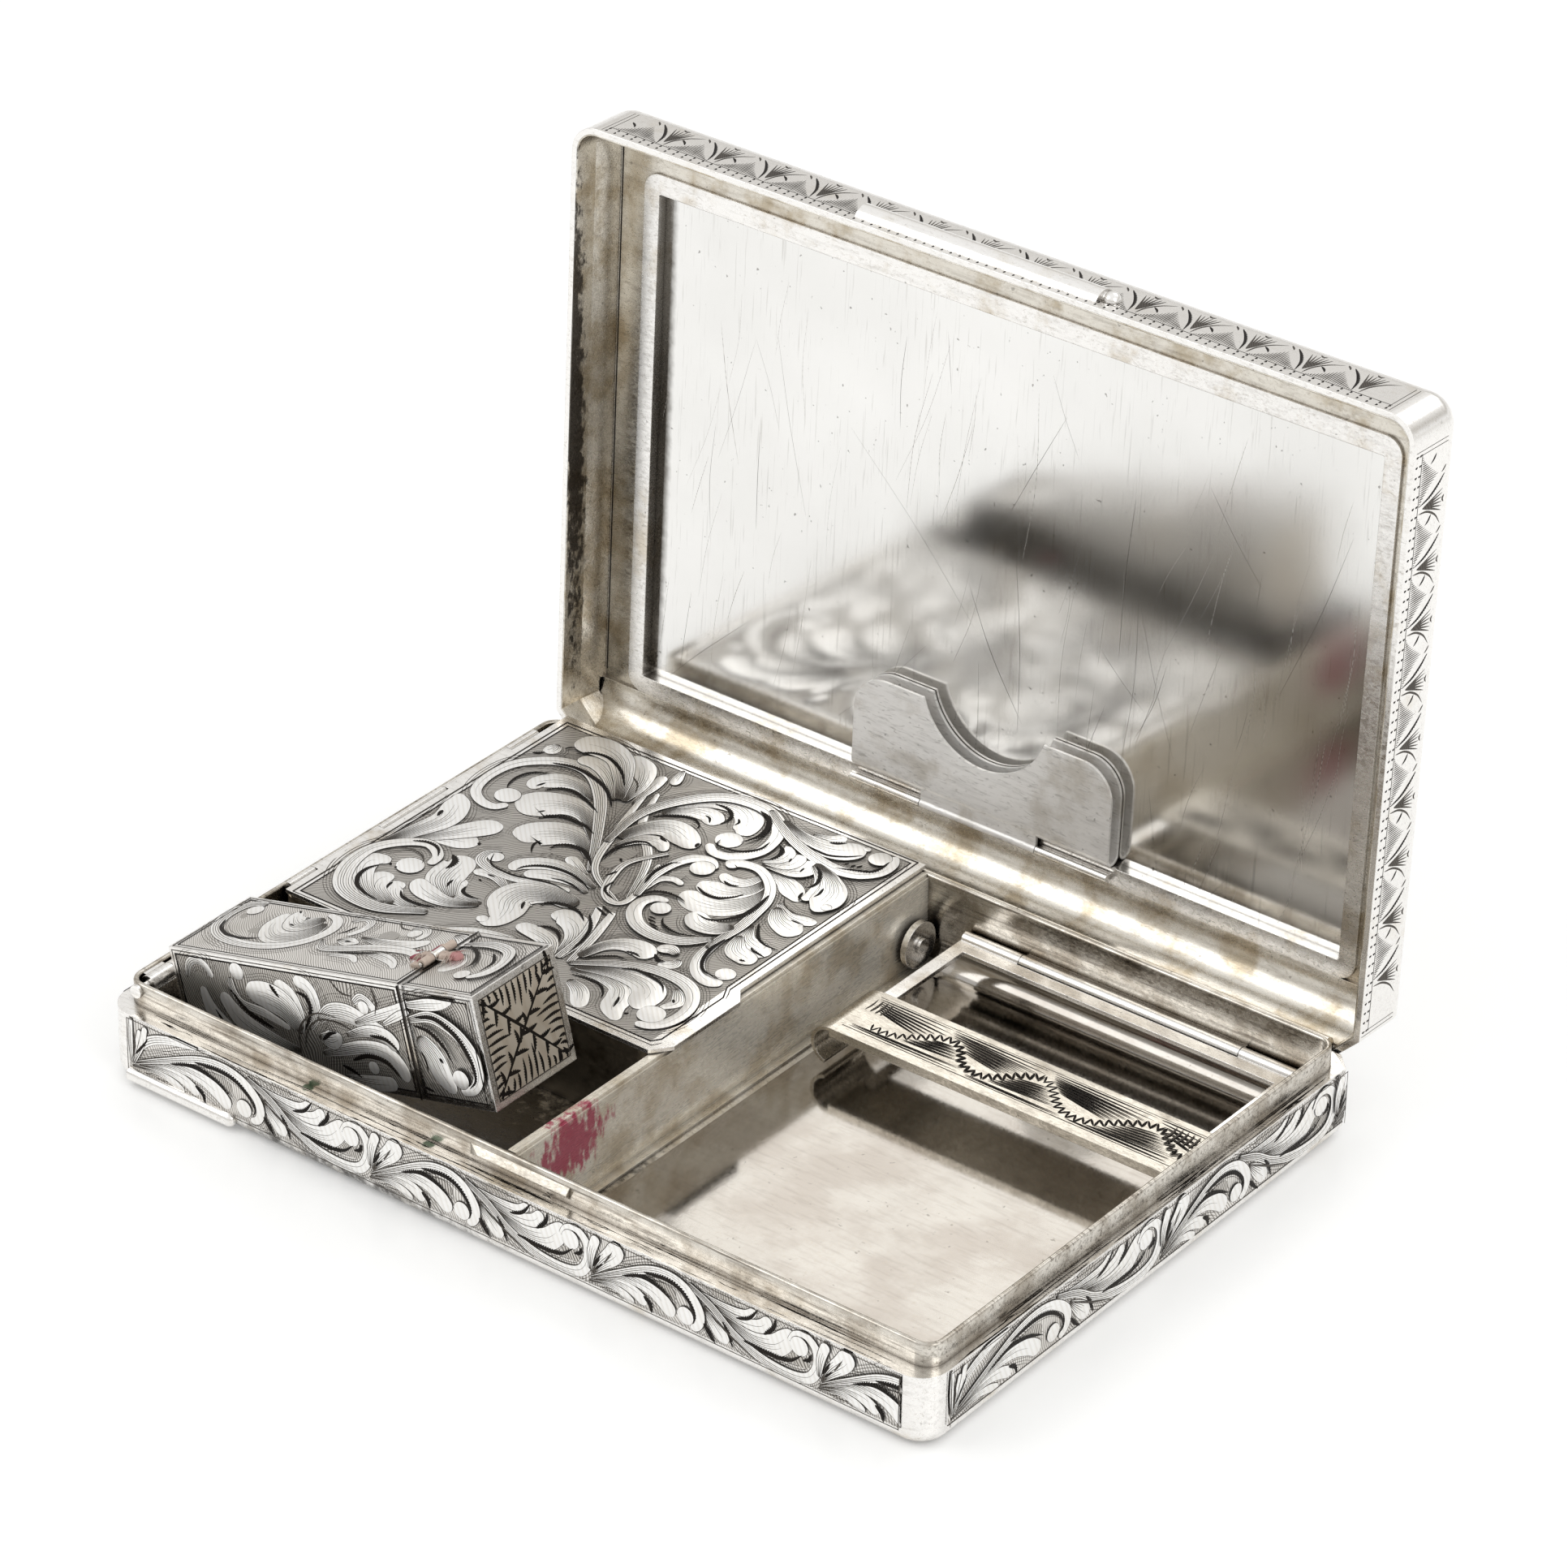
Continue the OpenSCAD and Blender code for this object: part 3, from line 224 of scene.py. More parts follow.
# Painted shadow: a dark brown patch down in the lipstick's compartment, where the recess lies in shade.
recessShadowPainted = dict(patchDefaults, tone="#201913", at=(-28, -29, 1.5), reach=(44, 24, 8), soft=0.5)
smearStain = dict(
    patchDefaults, tone="#b03a5c", at=(-0.6, -32.0, 9.5), reach=(3.0, 7.4, 5.2), grain=(1.0, 0.9, 0.35), ragged=2.2, soft=0.4
)
residueStain = dict(patchDefaults, tone="#8d2f45", at=(-24.2, -31, 28), reach=(1.6, 3, 3), ragged=1.0)
rimStain = dict(patchDefaults, tone="#2d2620", at=(-65.6, 47.6, 58), reach=(1.6, 2.6, 44), grain=(0.9, 0.9, 0.5), ragged=2.0)
# Painted reflection: a dark band on the glass along its left edge, where the frame's inner edge would show in it.
frameReflectionPainted = dict(patchDefaults, tone="#3f382d", at=(-57.6, 50, 55), reach=(3.0, 60, 90), ragged=0.3, soft=0.5)
greenSpots = [
    dict(patchDefaults, tone="#47604c", reach=(0.9, 0.9, 1.2), at=spot)
    for spot in ((-33, -44.2, 10.5), (-13, -44.4, 10.5), (28, 45, 12), (61, 43, 10.5))
]

# Raised and hand polished silver sheet: bright, with a warm film where fingers don't reach.
silverWorn = silver("silver_sheet_worn")
# Outer walls, rubbed bright by the hand: almost no film, soft scratches.
silverPolished = silver(
    "silver_sheet_polished", film="#e6e1d8", filmFrom=0.56, streaks=0.06, corners=0.5, flecks=0.2, smooth=0.1
)
# The tray: the same outside, and a dark brown painted shadow down in the lipstick's compartment.
silverTray = silver(
    "silver_tray_tarnish_and_painted_shade", [recessShadowPainted, *greenSpots],
    film="#ddd6ca", filmFrom=0.52, streaks=0.25, corners=0.7, flecks=0.3, smooth=0.1,
)
# The divider: worn sheet with a smear of lipstick near its front end.
silverSmeared = silver(
    "silver_sheet_smeared", [smearStain],
    clean="#f2ecdf", film="#d2c6b1", filmFrom=0.44, streaks=0.3, cornerReach=2.5,
    scratches=0.2, scratchGrain=(2.0, 0.3, 2.0), relief=0.1, rough=0.42, metallic=0.5,
)
# The cap's knuckles: wire under a pale crust of old wax, red at one end.
silverCrusted = silver(
    "silver_wire_crusted", [residueStain],
    clean="#cdbcae", film="#a88f80", smooth=0.45, rough=0.7, relief=1.0, metallic=0.3,
)
# The ledge and the bezel's foot, where polish and dust dried to brown streaks along the wall, with the compartment's
# painted shadow laid on as well.
silverStreaked = silver(
    "silver_sheet_streaked", [recessShadowPainted, *greenSpots],
    clean="#d8d3ca", film="#aaa296", filmFrom=0.4, grain=(0.1, 2.2, 2.2), streaks=0.9,
    cornerReach=2.2, corners=1.0, tarnish="#4b4034",
)
# The lid's inner walls, never polished: a golden brown film with darker edges.
silverGolden = silver(
    "silver_lining_golden", [rimStain],
    clean="#dcd7cd", film="#b4a893", filmFrom=0.44, streaks=0.3, tarnish="#4d3b28", cornerReach=3.0,
)
# Compartment floors: satin from use, small scratches in every direction, grey brown clouds.
silverSatin = silver(
    "silver_floor_satin",
    clean="#aaa6a0", film="#9c968f", cloud=16.0, filmFrom=0.42, scratchGrain=(3.0, 1.6, 2.4), smooth=0.07, rough=0.14,
)
# The strap: drawn strip, greyer than the rest, with wear along it.
silverStrap = silver(
    "silver_strip_dull", clean="#cdc7bc", film="#a8a093", grain=(0.2, 1.0, 1.0), streaks=0.35, rough=0.4
)
# The powder box and its pan, dull and brown down inside.
silverDull = silver("silver_box_dull", clean="#b9ad99", film="#85775f", tarnish="#2e261d", smooth=0.28, rough=0.5)
# Knuckles and pins: drawn wire and tube, bright where they turn.
silverDrawn = silver(
    "silver_wire_drawn", grain=(0.1, 2.0, 2.0), streaks=0.3, corners=0.9, cornerReach=0.8, edge=0.06
)
# The clip: rolled strip, scratched satin in swirls by the papers it held.
silverBrushed = silver(
    "silver_strip_brushed",
    film="#d5d0c8", scratches=0.45, scratchTone="#8f8b84", scratchGrain=(0.5, 0.5, 2.4),
    smooth=0.34, rough=0.5, metallic=0.55,
)

mirror = {
    "clean": "#f4f3f1",
    "haze": "#dfdedb",
    "hazeSize": 22.0,
    "roughLevels": (0.3, 0.7),
    "roughness": (0.14, 0.08),  # in the haze and out of it
    "wipe": (3.2, 0.3, 0.12),
    "wipeLean": (0.0, 0.16, 0.0),
    "scratch": "#a9a6a0",
    "scratchLevels": (0.6, 0.72),
    "scratches": 0.35,
    "speck": "#5b564e",
    "speckSize": 0.7,
    "speckLevels": (0.75, 0.8),
    "specks": 0.6,
}


def mirrorPlate(look):
    # Silvered plate glass: a soft grey reflection, hazed by fine upright scratches and specks, with a dark band along
    # its left edge that is a painted reflection of the frame's inner edge.
    material, tree, place = newMaterial("glass_plate_silvered")
    wiped = addNode(tree, "Mapping", {"Vector": place, "Scale": look["wipe"], "Rotation": look["wipeLean"]})
    fine = {"Scale": 1 / mm, "Detail": 3.0, "Distortion": 0.3}
    scratches = noiseMask(tree, wiped, fine, look["scratchLevels"], look["scratches"])[1]
    haze = addNode(tree, "TexNoise", {"Vector": place, "Scale": 1 / (look["hazeSize"] * mm), "Detail": 5.0})
    speck = {"Scale": 1 / (look["speckSize"] * mm), "Detail": 1.0}
    specks = noiseMask(tree, place, speck, look["speckLevels"], look["specks"])[1]
    rough = addNode(tree, "MapRange", between(haze, look["roughLevels"], *look["roughness"]))
    layers = [(haze, look["haze"]), (scratches, look["scratch"]), (specks, look["speck"])]
    tone = layered(tree, look["clean"], layers + patchLayers(tree, place, [frameReflectionPainted]))
    finishMaterial(tree, {"Base Color": tone, "Metallic": 1.0, "Roughness": rough})
    return material


def wax(name, look):
    # Wax, pressed or soaked into thread: matt, marbled between two tones, and stained.
    material, tree, place = newMaterial(name)
    cloud = addNode(tree, "TexNoise", {"Vector": place, "Scale": look["marbling"] / mm, "Detail": look["detail"]})
    layers = [(cloud, look["pale"]), *patchLayers(tree, place, look["tonePatches"])]
    relief = addNode(tree, "Bump", {"Height": cloud, "Strength": look["relief"], "Distance": look["depth"] * mm})
    tone = layered(tree, look["deep"], layers)
    finishMaterial(tree, {"Base Color": tone, "Roughness": look["roughness"], "Normal": relief})
    return material


# The lipstick: pressed wax, soft red, with a low waxy sheen; marbling counts clouds to a millimetre.
lipstickLook = {
    "deep": "#8f1f36",
    "pale": "#b5324b",
    "marbling": 0.26,
    "detail": 4.0,
    "tonePatches": [],
    "relief": 0.3,
    "depth": 0.1,
    "roughness": 0.42,
}
# Cotton thread soaked in wax: matt and lumpy, beige with dark red ends.
threadLook = {
    "deep": "#8f7768",
    "pale": "#e2d2c5",
    "marbling": 2.0,
    "detail": 3.0,
    "tonePatches": [
        dict(patchDefaults, tone="#8a2c44", at=(-26.6, -31.5, 27.0), reach=(1.8, 2.4, 3.0), ragged=0.8),
        dict(patchDefaults, tone="#b5606a", at=(-19.8, -30.4, 28.8), reach=(1.0, 1.6, 2.0), share=0.6),
    ],
    "relief": 0.8,
    "depth": 0.12,
    "roughness": 0.75,
}

groundLook = {
    "hatchAlong": (1.0, 1.0, 0.4),
    "wander": 0.004,
    "pitch": 0.42,
    "lineLevels": (-0.1, 0.8),
    "high": "#f0ede9",
    "low": "#a29d96",
    "cloud": 7.0,
    "filmLevels": (0.45, 0.75),
    "film": 0.4,
    "filmTone": "#a39d94",
    "relief": 0.5,
    "reliefDepth": 0.02,
    "roughness": 0.4,
    "metallic": 0.9,
}


def stampedMetal(name, **changes):
    # Engraver's work: hatch lines or burnished leaf, coloured by tone, with oxide left in the cuts.
    look = {**groundLook, **changes}
    material, tree, place = newMaterial(name)
    across = addNode(tree, "VectorMath", {0: place, 1: look["hatchAlong"]}, operation="DOT_PRODUCT")
    noise = {"Scale": 1 / (look["cloud"] * mm), "Detail": 1.0}
    cloud, film = noiseMask(tree, place, noise, look["filmLevels"], look["film"])
    bent = addNode(tree, "Math", {0: cloud, 1: look["wander"], 2: across}, operation="MULTIPLY_ADD")
    phase = addNode(tree, "Math", {0: bent, 1: 2 * math.pi / (look["pitch"] * mm)}, operation="MULTIPLY")
    wave = addNode(tree, "Math", {0: phase}, operation="SINE")
    line = addNode(tree, "MapRange", between(wave, look["lineLevels"]))
    tone = layered(tree, look["high"], [(line, look["low"]), (film, look["filmTone"])])
    depth = look["reliefDepth"] * mm
    relief = addNode(tree, "Bump", {"Height": wave, "Strength": look["relief"], "Distance": depth})
    inputs = {"Base Color": tone, "Metallic": look["metallic"], "Roughness": look["roughness"], "Normal": relief}
    finishMaterial(tree, inputs)
    return material


# Hatched ground between the leaves: fine cut lines that hold oxide, so it reads as soft grey.
groundHatched = stampedMetal("silver_ground_hatched")
# Leaves: burnished metal left standing, nearly white, with faint tool lines.
leafBurnished = stampedMetal(
    "silver_leaf_burnished",
    pitch=0.9, wander=0.0, high="#faf9f7", low="#f1efeb", film=0.2, filmTone="#ddd6ca",
    relief=0.1, roughness=0.36, metallic=0.8,
)
# Fine contour lines, cut with a line graver: grey rather than black.
lineCut = stampedMetal(
    "silver_line_cut", high="#5d5852", low="#48433e", film=0.3, filmTone="#37322d", roughness=0.5
)
# Deep cuts, filled with black oxide.
oxideCut = stampedMetal(
    "silver_oxide_black", high="#26221f", low="#171412", film=0.3, filmTone="#3a322a", roughness=0.55
)
# Patches crossed twice with the line graver, a darker grey than the ground.
shadeHatched = stampedMetal("silver_shade_hatched", hatchAlong=(1.0, -1.0, 0.5), high="#d2cec8", low="#5c5751")
# The cap's end: plain sheet under an even beige film, which the barbs are cut through.
sheetFilmed = stampedMetal(
    "silver_sheet_filmed", pitch=2.5, high="#dfd6c8", low="#d4c9b9", film=0.5, filmTone="#b8ab98"
)
engraved = [groundHatched, leafBurnished, lineCut, oxideCut, shadeHatched, sheetFilmed]
groundKind, leafKind, lineKind, oxideKind, shadeKind, filmedKind = range(6)

finishes = [
    (silverTray, ["base_shell"]),
    (silverStreaked, ["base_bezel"]),
    (silverStrap, ["snap_catch", "retainer_strap"]),
    (silverPolished, ["low_thumb_bar", "lid_shell", "lid_thumb_bar"]),
    (silverSatin, ["cigarette_liner"]),
    (silverSmeared, ["divider_wall"]),
    (silverDull, ["powder_box", "powder_pan", "lipstick_tube", "lipstick_carrier"]),
    (silverGolden, ["lid_lining"]),
    (silverBrushed, ["clip_leaf"]),
    (silverCrusted, ["lipstick_cap_knuckles"]),
    (mirrorPlate(mirror), ["mirror_glass"]),
    (wax("lipstick_wax_pressed", lipstickLook), ["lipstick_stick"]),
    (silverWorn, ["divider_washer", "mirror_frame", "compact_lid", "retainer_frame"]),
    (silverWorn, ["lipstick_body", "lipstick_hinge_leaf", "lipstick_cap"]),
    (silverDrawn, ["base_hinge_knuckles", "lid_hinge_knuckles", "main_hinge_pin"]),
    (silverDrawn, ["retainer_fixed_knuckle", "retainer_hinge_pin", "clip_fixed_knuckles", "clip_hinge_pin"]),
    (silverDrawn, ["lipstick_fixed_knuckles", "lipstick_hinge_pin", "lipstick_cap_pin", "divider_rivet"]),
    (silverDrawn, ["compact_fixed_knuckles", "compact_hinge_pin"]),
]
for material, names in finishes:
    for name in names:
        nodes[name].data.materials.clear()
        nodes[name].data.materials.append(material)
print("finishes set on", sum(len(names) for material, names in finishes), "nodes")
# Panels: flat faces that carry engraving, each given on the shut case

shut = Matrix.Identity(4)


def fromShut(joint):
    # The turn that takes a body from the shut case to its place at rest.
    facts = joints[joint]
    pivot = Vector(facts["pos_m"])
    turn = Matrix.Rotation(-math.radians(min(facts["range_deg"])), 4, Vector(facts["axis"]).normalized())
    return Matrix.Translation(pivot) @ turn @ Matrix.Translation(-pivot)


graver = {
    "outline": 0.1,  # dark edge that stands round a leaf
    "inner": 0.6,  # its share on the leaf's inner side
    "fine": 0.045,  # half width of a contour line
    "lineGap": 0.36,  # spacing of the contour lines across a leaf
    "lineEnd": 0.9,  # share of the leaf that its middle line runs
    "lineFan": 0.45,  # how much shorter the outer ones are
    "stagger": 0.18,  # and every second one
    "echoes": 3,  # lines in the ground beside each leaf
    "echoGap": 0.42,
    "echoHalf": 0.028,
    "tips": (0.008, 0.005, 0.01),  # half width at the ends of contour lines, echoes and cuts
    "wide": 0.2,  # a cut this wide gets teeth
    "black": 0.14,  # and one wider than this holds oxide
    "tooth": 0.36,  # spacing of the teeth on a deep cut
    "teeth": (0.55, 0.8, 1.05, 1.3),
    "station": 0.3,  # step along a stroke
    "spanSteps": 12,
    "endSteps": 6,
    "leastEnd": 0.02,
    "lift": 0.003,  # each stroke lies this far above what it covers
    "crown": 0.14,  # how far a leaf's edge leans, as a slope
    "cell": 0.35,  # grid on which the layers are counted
    "smallestFace": 2e-5,  # square millimetres
}


def shutBox(node, pose):
    # Lowest and highest corner of a node on the shut case, in millimetres.
    back = pose.inverted()
    points = np.array([tuple(back @ vertex.co) for vertex in nodes[node].data.vertices])
    return points.min(0) / mm, points.max(0) / mm


def newPanel(origin, along, up, low, high, pose=shut):
    along, up = np.array(along, float), np.array(up, float)
    low, high = np.array(low, float), np.array(high, float)
    cells = np.ceil((high - low) / graver["cell"]).astype(int) + 1
    return {
        "origin": np.array(origin, float),
        "axes": np.array((along, up, np.cross(along, up))),
        "low": low,
        "high": high,
        "pose": np.array(pose),
        "layers": np.zeros(cells, int),
        "points": [],
        "normals": [],
        "faces": [],
        "kinds": [],
        "count": 0,
    }


def nextLayer(panel, spots):
    # One step above the highest stroke under these points.
    inside = np.clip(spots.reshape(-1, 2), panel["low"], panel["high"]) - panel["low"]
    column, row = (inside / graver["cell"]).astype(int).T
    layer = panel["layers"][column, row].max() + 1
    panel["layers"][column, row] = layer
    return layer * graver["lift"]


def layGrid(panel, spots, tilts, kind):
    # A strip of faces over a grid of panel points, cut off at the panel's edges.
    rows, columns = spots.shape[:2]
    filled = [spots]
    if columns < 8:
        shares = np.linspace(0, 1, 7)[:, None, None]
        filled = [spots[None, :, 0] * (1 - shares) + spots[None, :, -1] * shares]
    height = nextLayer(panel, filled[0])
    spots = np.clip(spots, panel["low"], panel["high"])
    flat = np.concatenate([spots, np.full((rows, columns, 1), height)], 2).reshape(-1, 3)
    lean = np.concatenate([tilts, np.ones((rows, columns, 1))], 2).reshape(-1, 3)
    index = np.arange(rows * columns).reshape(rows, columns) + panel["count"]
    corners = (index[:-1, :-1], index[1:, :-1], index[1:, 1:], index[:-1, 1:])
    faces = np.stack([part.ravel() for part in corners], 1)
    one = spots[1:, 1:] - spots[:-1, :-1]
    two = spots[:-1, 1:] - spots[1:, :-1]
    area = np.abs(one[..., 0] * two[..., 1] - one[..., 1] * two[..., 0]).ravel()
    faces = faces[area > graver["smallestFace"]]
    panel["points"].append(panel["origin"] + flat @ panel["axes"])
    panel["normals"].append(lean @ panel["axes"])
    panel["faces"].append(faces)
    panel["kinds"].append(np.full(len(faces), kind))
    panel["count"] += rows * columns


def finishPanel(panel, name, body):
    turn, shift = panel["pose"][:3, :3], panel["pose"][:3, 3]
    points = np.concatenate(panel["points"]) * mm @ turn.T + shift
    normals = np.concatenate(panel["normals"]) @ turn.T
    normals /= np.linalg.norm(normals, axis=1, keepdims=True)
    mesh = bpy.data.meshes.new(name)
    mesh.from_pydata(points.tolist(), [], np.concatenate(panel["faces"]).tolist())
    for material in engraved:
        mesh.materials.append(material)
    mesh.polygons.foreach_set("material_index", np.concatenate(panel["kinds"]).astype(np.int32))
    mesh.polygons.foreach_set("use_smooth", np.ones(len(mesh.polygons), bool))
    mesh.update()
    mesh.normals_split_custom_set_from_vertices(normals.tolist())
    item = addItem(name, mesh)
    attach(item, body)
    return len(mesh.polygons)


# Strokes of the graver, in millimetres on the panel


def smoothStroke(points, step, ends=0):
    # A curve through points of x, y and half width, with rounded ends where the stroke is wide.
    points = np.array(points, float)
    padded = np.vstack([2 * points[0] - points[1], points, 2 * points[-1] - points[-2]])
    spans = []
    for index in range(len(points) - 1):
        a, b, c, d = padded[index : index + 4]
        t = np.linspace(0, 1, graver["spanSteps"], endpoint=False)[:, None]
        spans.append(
            0.5 * (2 * b + (c - a) * t + (2 * a - 5 * b + 4 * c - d) * t**2 + (3 * b - a - 3 * c + d) * t**3)
        )
    dense = np.vstack(spans + [points[-1:]])
    reach = np.concatenate([[0], np.cumsum(np.linalg.norm(np.diff(dense[:, :2], axis=0), axis=1))])
    length = reach[-1]
    spots = [np.linspace(0, length, max(graver["endSteps"], int(length / step) + 1))]
    first, last = (min(max(abs(half), graver["leastEnd"]), length / 2) for half in (points[0, 2], points[-1, 2]))
    if ends:
        bow = 1 - np.cos(np.linspace(0, math.pi / 2, graver["endSteps"]))
        spots += [first * bow, length - last * bow]
    spots = np.unique(np.round(np.concatenate(spots), 4))
    stroke = np.stack([np.interp(spots, reach, dense[:, axis]) for axis in range(3)], 1)
    if ends:
        near = np.clip(1 - spots / first, 0, 1)
        far = np.clip(1 - (length - spots) / last, 0, 1)
        stroke[:, 2] *= np.sqrt(1 - near**2) * np.sqrt(1 - far**2)
    return stroke, np.clip(spots / length, 0, 1)


def sideways(stroke):
    tangent = np.gradient(stroke[:, :2], axis=0)
    tangent /= np.maximum(np.linalg.norm(tangent, axis=1, keepdims=True), 1e-9)
    return np.stack([-tangent[:, 1], tangent[:, 0]], 1)


def layStroke(panel, stroke, left, right, kind, crown=0.0):
    across = np.array([-1.0, -0.6, 0.0, 0.6, 1.0]) if crown else np.array([-1.0, 1.0])
    width = np.where(across > 0, left[:, None], right[:, None]) * across
    side = sideways(stroke)[:, None]
    layGrid(panel, stroke[:, None, :2] + side * width[..., None], side * (crown * across)[:, None], kind)


def cutLeaf(panel, points, lines=True):
    # The dark outline first, then the bright leaf, and its contour lines on top.
    stroke, t = smoothStroke(points, graver["station"], ends=1)
    half = stroke[:, 2]
    layStroke(panel, stroke, half + graver["outline"], half + graver["outline"] * graver["inner"], lineKind)
    layStroke(panel, stroke, half, half, leafKind, graver["crown"])
    count = int(2 * half.max() / graver["lineGap"]) if lines else 0
    for number in range(count):
        share = (number + 1) / (count + 1) * 2 - 1
        end = graver["lineEnd"] - graver["lineFan"] * abs(share) - graver["stagger"] * (number % 2)
        piece = t <= end
        if piece.sum() < 4:
            continue
        s = t[piece] / end
        fine = stroke[piece].copy()
        fine[:, :2] += sideways(stroke)[piece] * (share * half[piece])[:, None]
        width = graver["fine"] * (1 - s**2) + graver["tips"][0]
        layStroke(panel, fine, width, width, lineKind)


def echoLeaf(panel, points):
    # Ground lines that follow a leaf's two sides, left out where they would fold in a tight curl.
    stroke, t = smoothStroke(points, graver["station"] * 1.5)
    along = np.diff(stroke[:, :2], axis=0)
    for hand in (-1, 1):
        for number in range(1, graver["echoes"] + 1):
            away = stroke[:, 2] * np.sin(math.pi * np.clip(t, 0.15, 0.85)) ** 0.3 + graver["echoGap"] * number
            fine = stroke.copy()
            fine[:, :2] += sideways(stroke) * (hand * away)[:, None]
            if ((np.diff(fine[:, :2], axis=0) * along).sum(1) <= 0).any():
                break
            width = graver["echoHalf"] * np.sin(math.pi * t) ** 0.4 + graver["tips"][1]
            layStroke(panel, fine, width, width, lineKind)


def cutGroove(panel, cut):
    # A tapered cut, black inside; a wide one gets the teeth of a wriggled graver along one side.
    half, points = cut[0], np.array(cut[1:], float).reshape(-1, 2)
    points = np.column_stack([points, np.full(len(points), half)])
    wide = half > graver["wide"]
    stroke, t = smoothStroke(points, graver["tooth"] / len(graver["teeth"]) if wide else graver["station"])
    width = half * np.clip(np.sin(math.pi * t**0.8), 0, 1) ** 0.7 + graver["tips"][2]
    teeth = np.resize(graver["teeth"], len(t)) if wide else 1.0
    layStroke(panel, stroke, width * teeth, width, oxideKind if half > graver["black"] else lineKind)


def bulb(x, y, r):
    return [(x - r, y, r), (x, y + 0.01, r), (x + r, y, r)]


def shifted(right, up=0.0):
    return lambda x, y: (right + x, up + y)


def placed(flat, place, grow=1.0):
    return [(*place(x, y), half * grow) for x, y, half in np.reshape(flat, (-1, 3))]


def echoLeaves(panel, design, place=shifted(0), grow=1.0):
    for flat in design["leaves"]:
        echoLeaf(panel, placed(flat, place, grow))


def carve(panel, design, place=shifted(0), grow=1.0):
    # A design is lists of strokes: patches of ground, leaves, bulbs, then cuts on top.
    for flat in design.get("patches", ()):
        stroke, t = smoothStroke(placed(flat, place), graver["station"], ends=1)
        layStroke(panel, stroke, stroke[:, 2], stroke[:, 2], shadeKind)
    for flat in design.get("leaves", ()):
        cutLeaf(panel, placed(flat, place, grow))
    for flat in design.get("bulbs", ()):
        cutLeaf(panel, bulb(*placed(flat, place)[0]), lines=False)
    for cut in design.get("cuts", ()):
        spots = [place(x, y) for x, y in np.reshape(cut[1:], (-1, 2))]
        cutGroove(panel, (cut[0], *np.ravel(spots)))


def groundSheet(panel, inset, kind):
    low, high = panel["low"] + inset, panel["high"] - inset
    columns = np.linspace(low[0], high[0], 9)
    rows = np.linspace(low[1], high[1], 9)
    spots = np.stack(np.meshgrid(columns, rows, indexing="ij"), -1)
    layGrid(panel, spots, np.zeros_like(spots), kind)
    panel["layers"][:] = 1


def ruledLine(panel, corners, half, kind):
    # Straight lines through the corners, each long enough to meet the next one's outer edge.
    corners = np.array(corners, float)
    for one, two in zip(corners[:-1], corners[1:]):
        reach = (two - one) / max(np.linalg.norm(two - one), 1e-9) * half
        stroke = np.array([[*(one - reach), half], [*((one + two) / 2), half], [*(two + reach), half]])
        layStroke(panel, stroke, stroke[:, 2], stroke[:, 2], kind)


def frameLine(panel, inset, half, kind):
    (x0, y0), (x1, y1) = panel["low"] + inset, panel["high"] - inset
    ruledLine(panel, [(x0, y0), (x1, y0), (x1, y1), (x0, y1), (x0, y0)], half, kind)


# Designs: a leaf, patch or bulb is x, y and half width over and over; a cut is one half width, then x and y.
# This one is a length of the walls' running scroll: an arch that hooks down, then a stem that curls up.

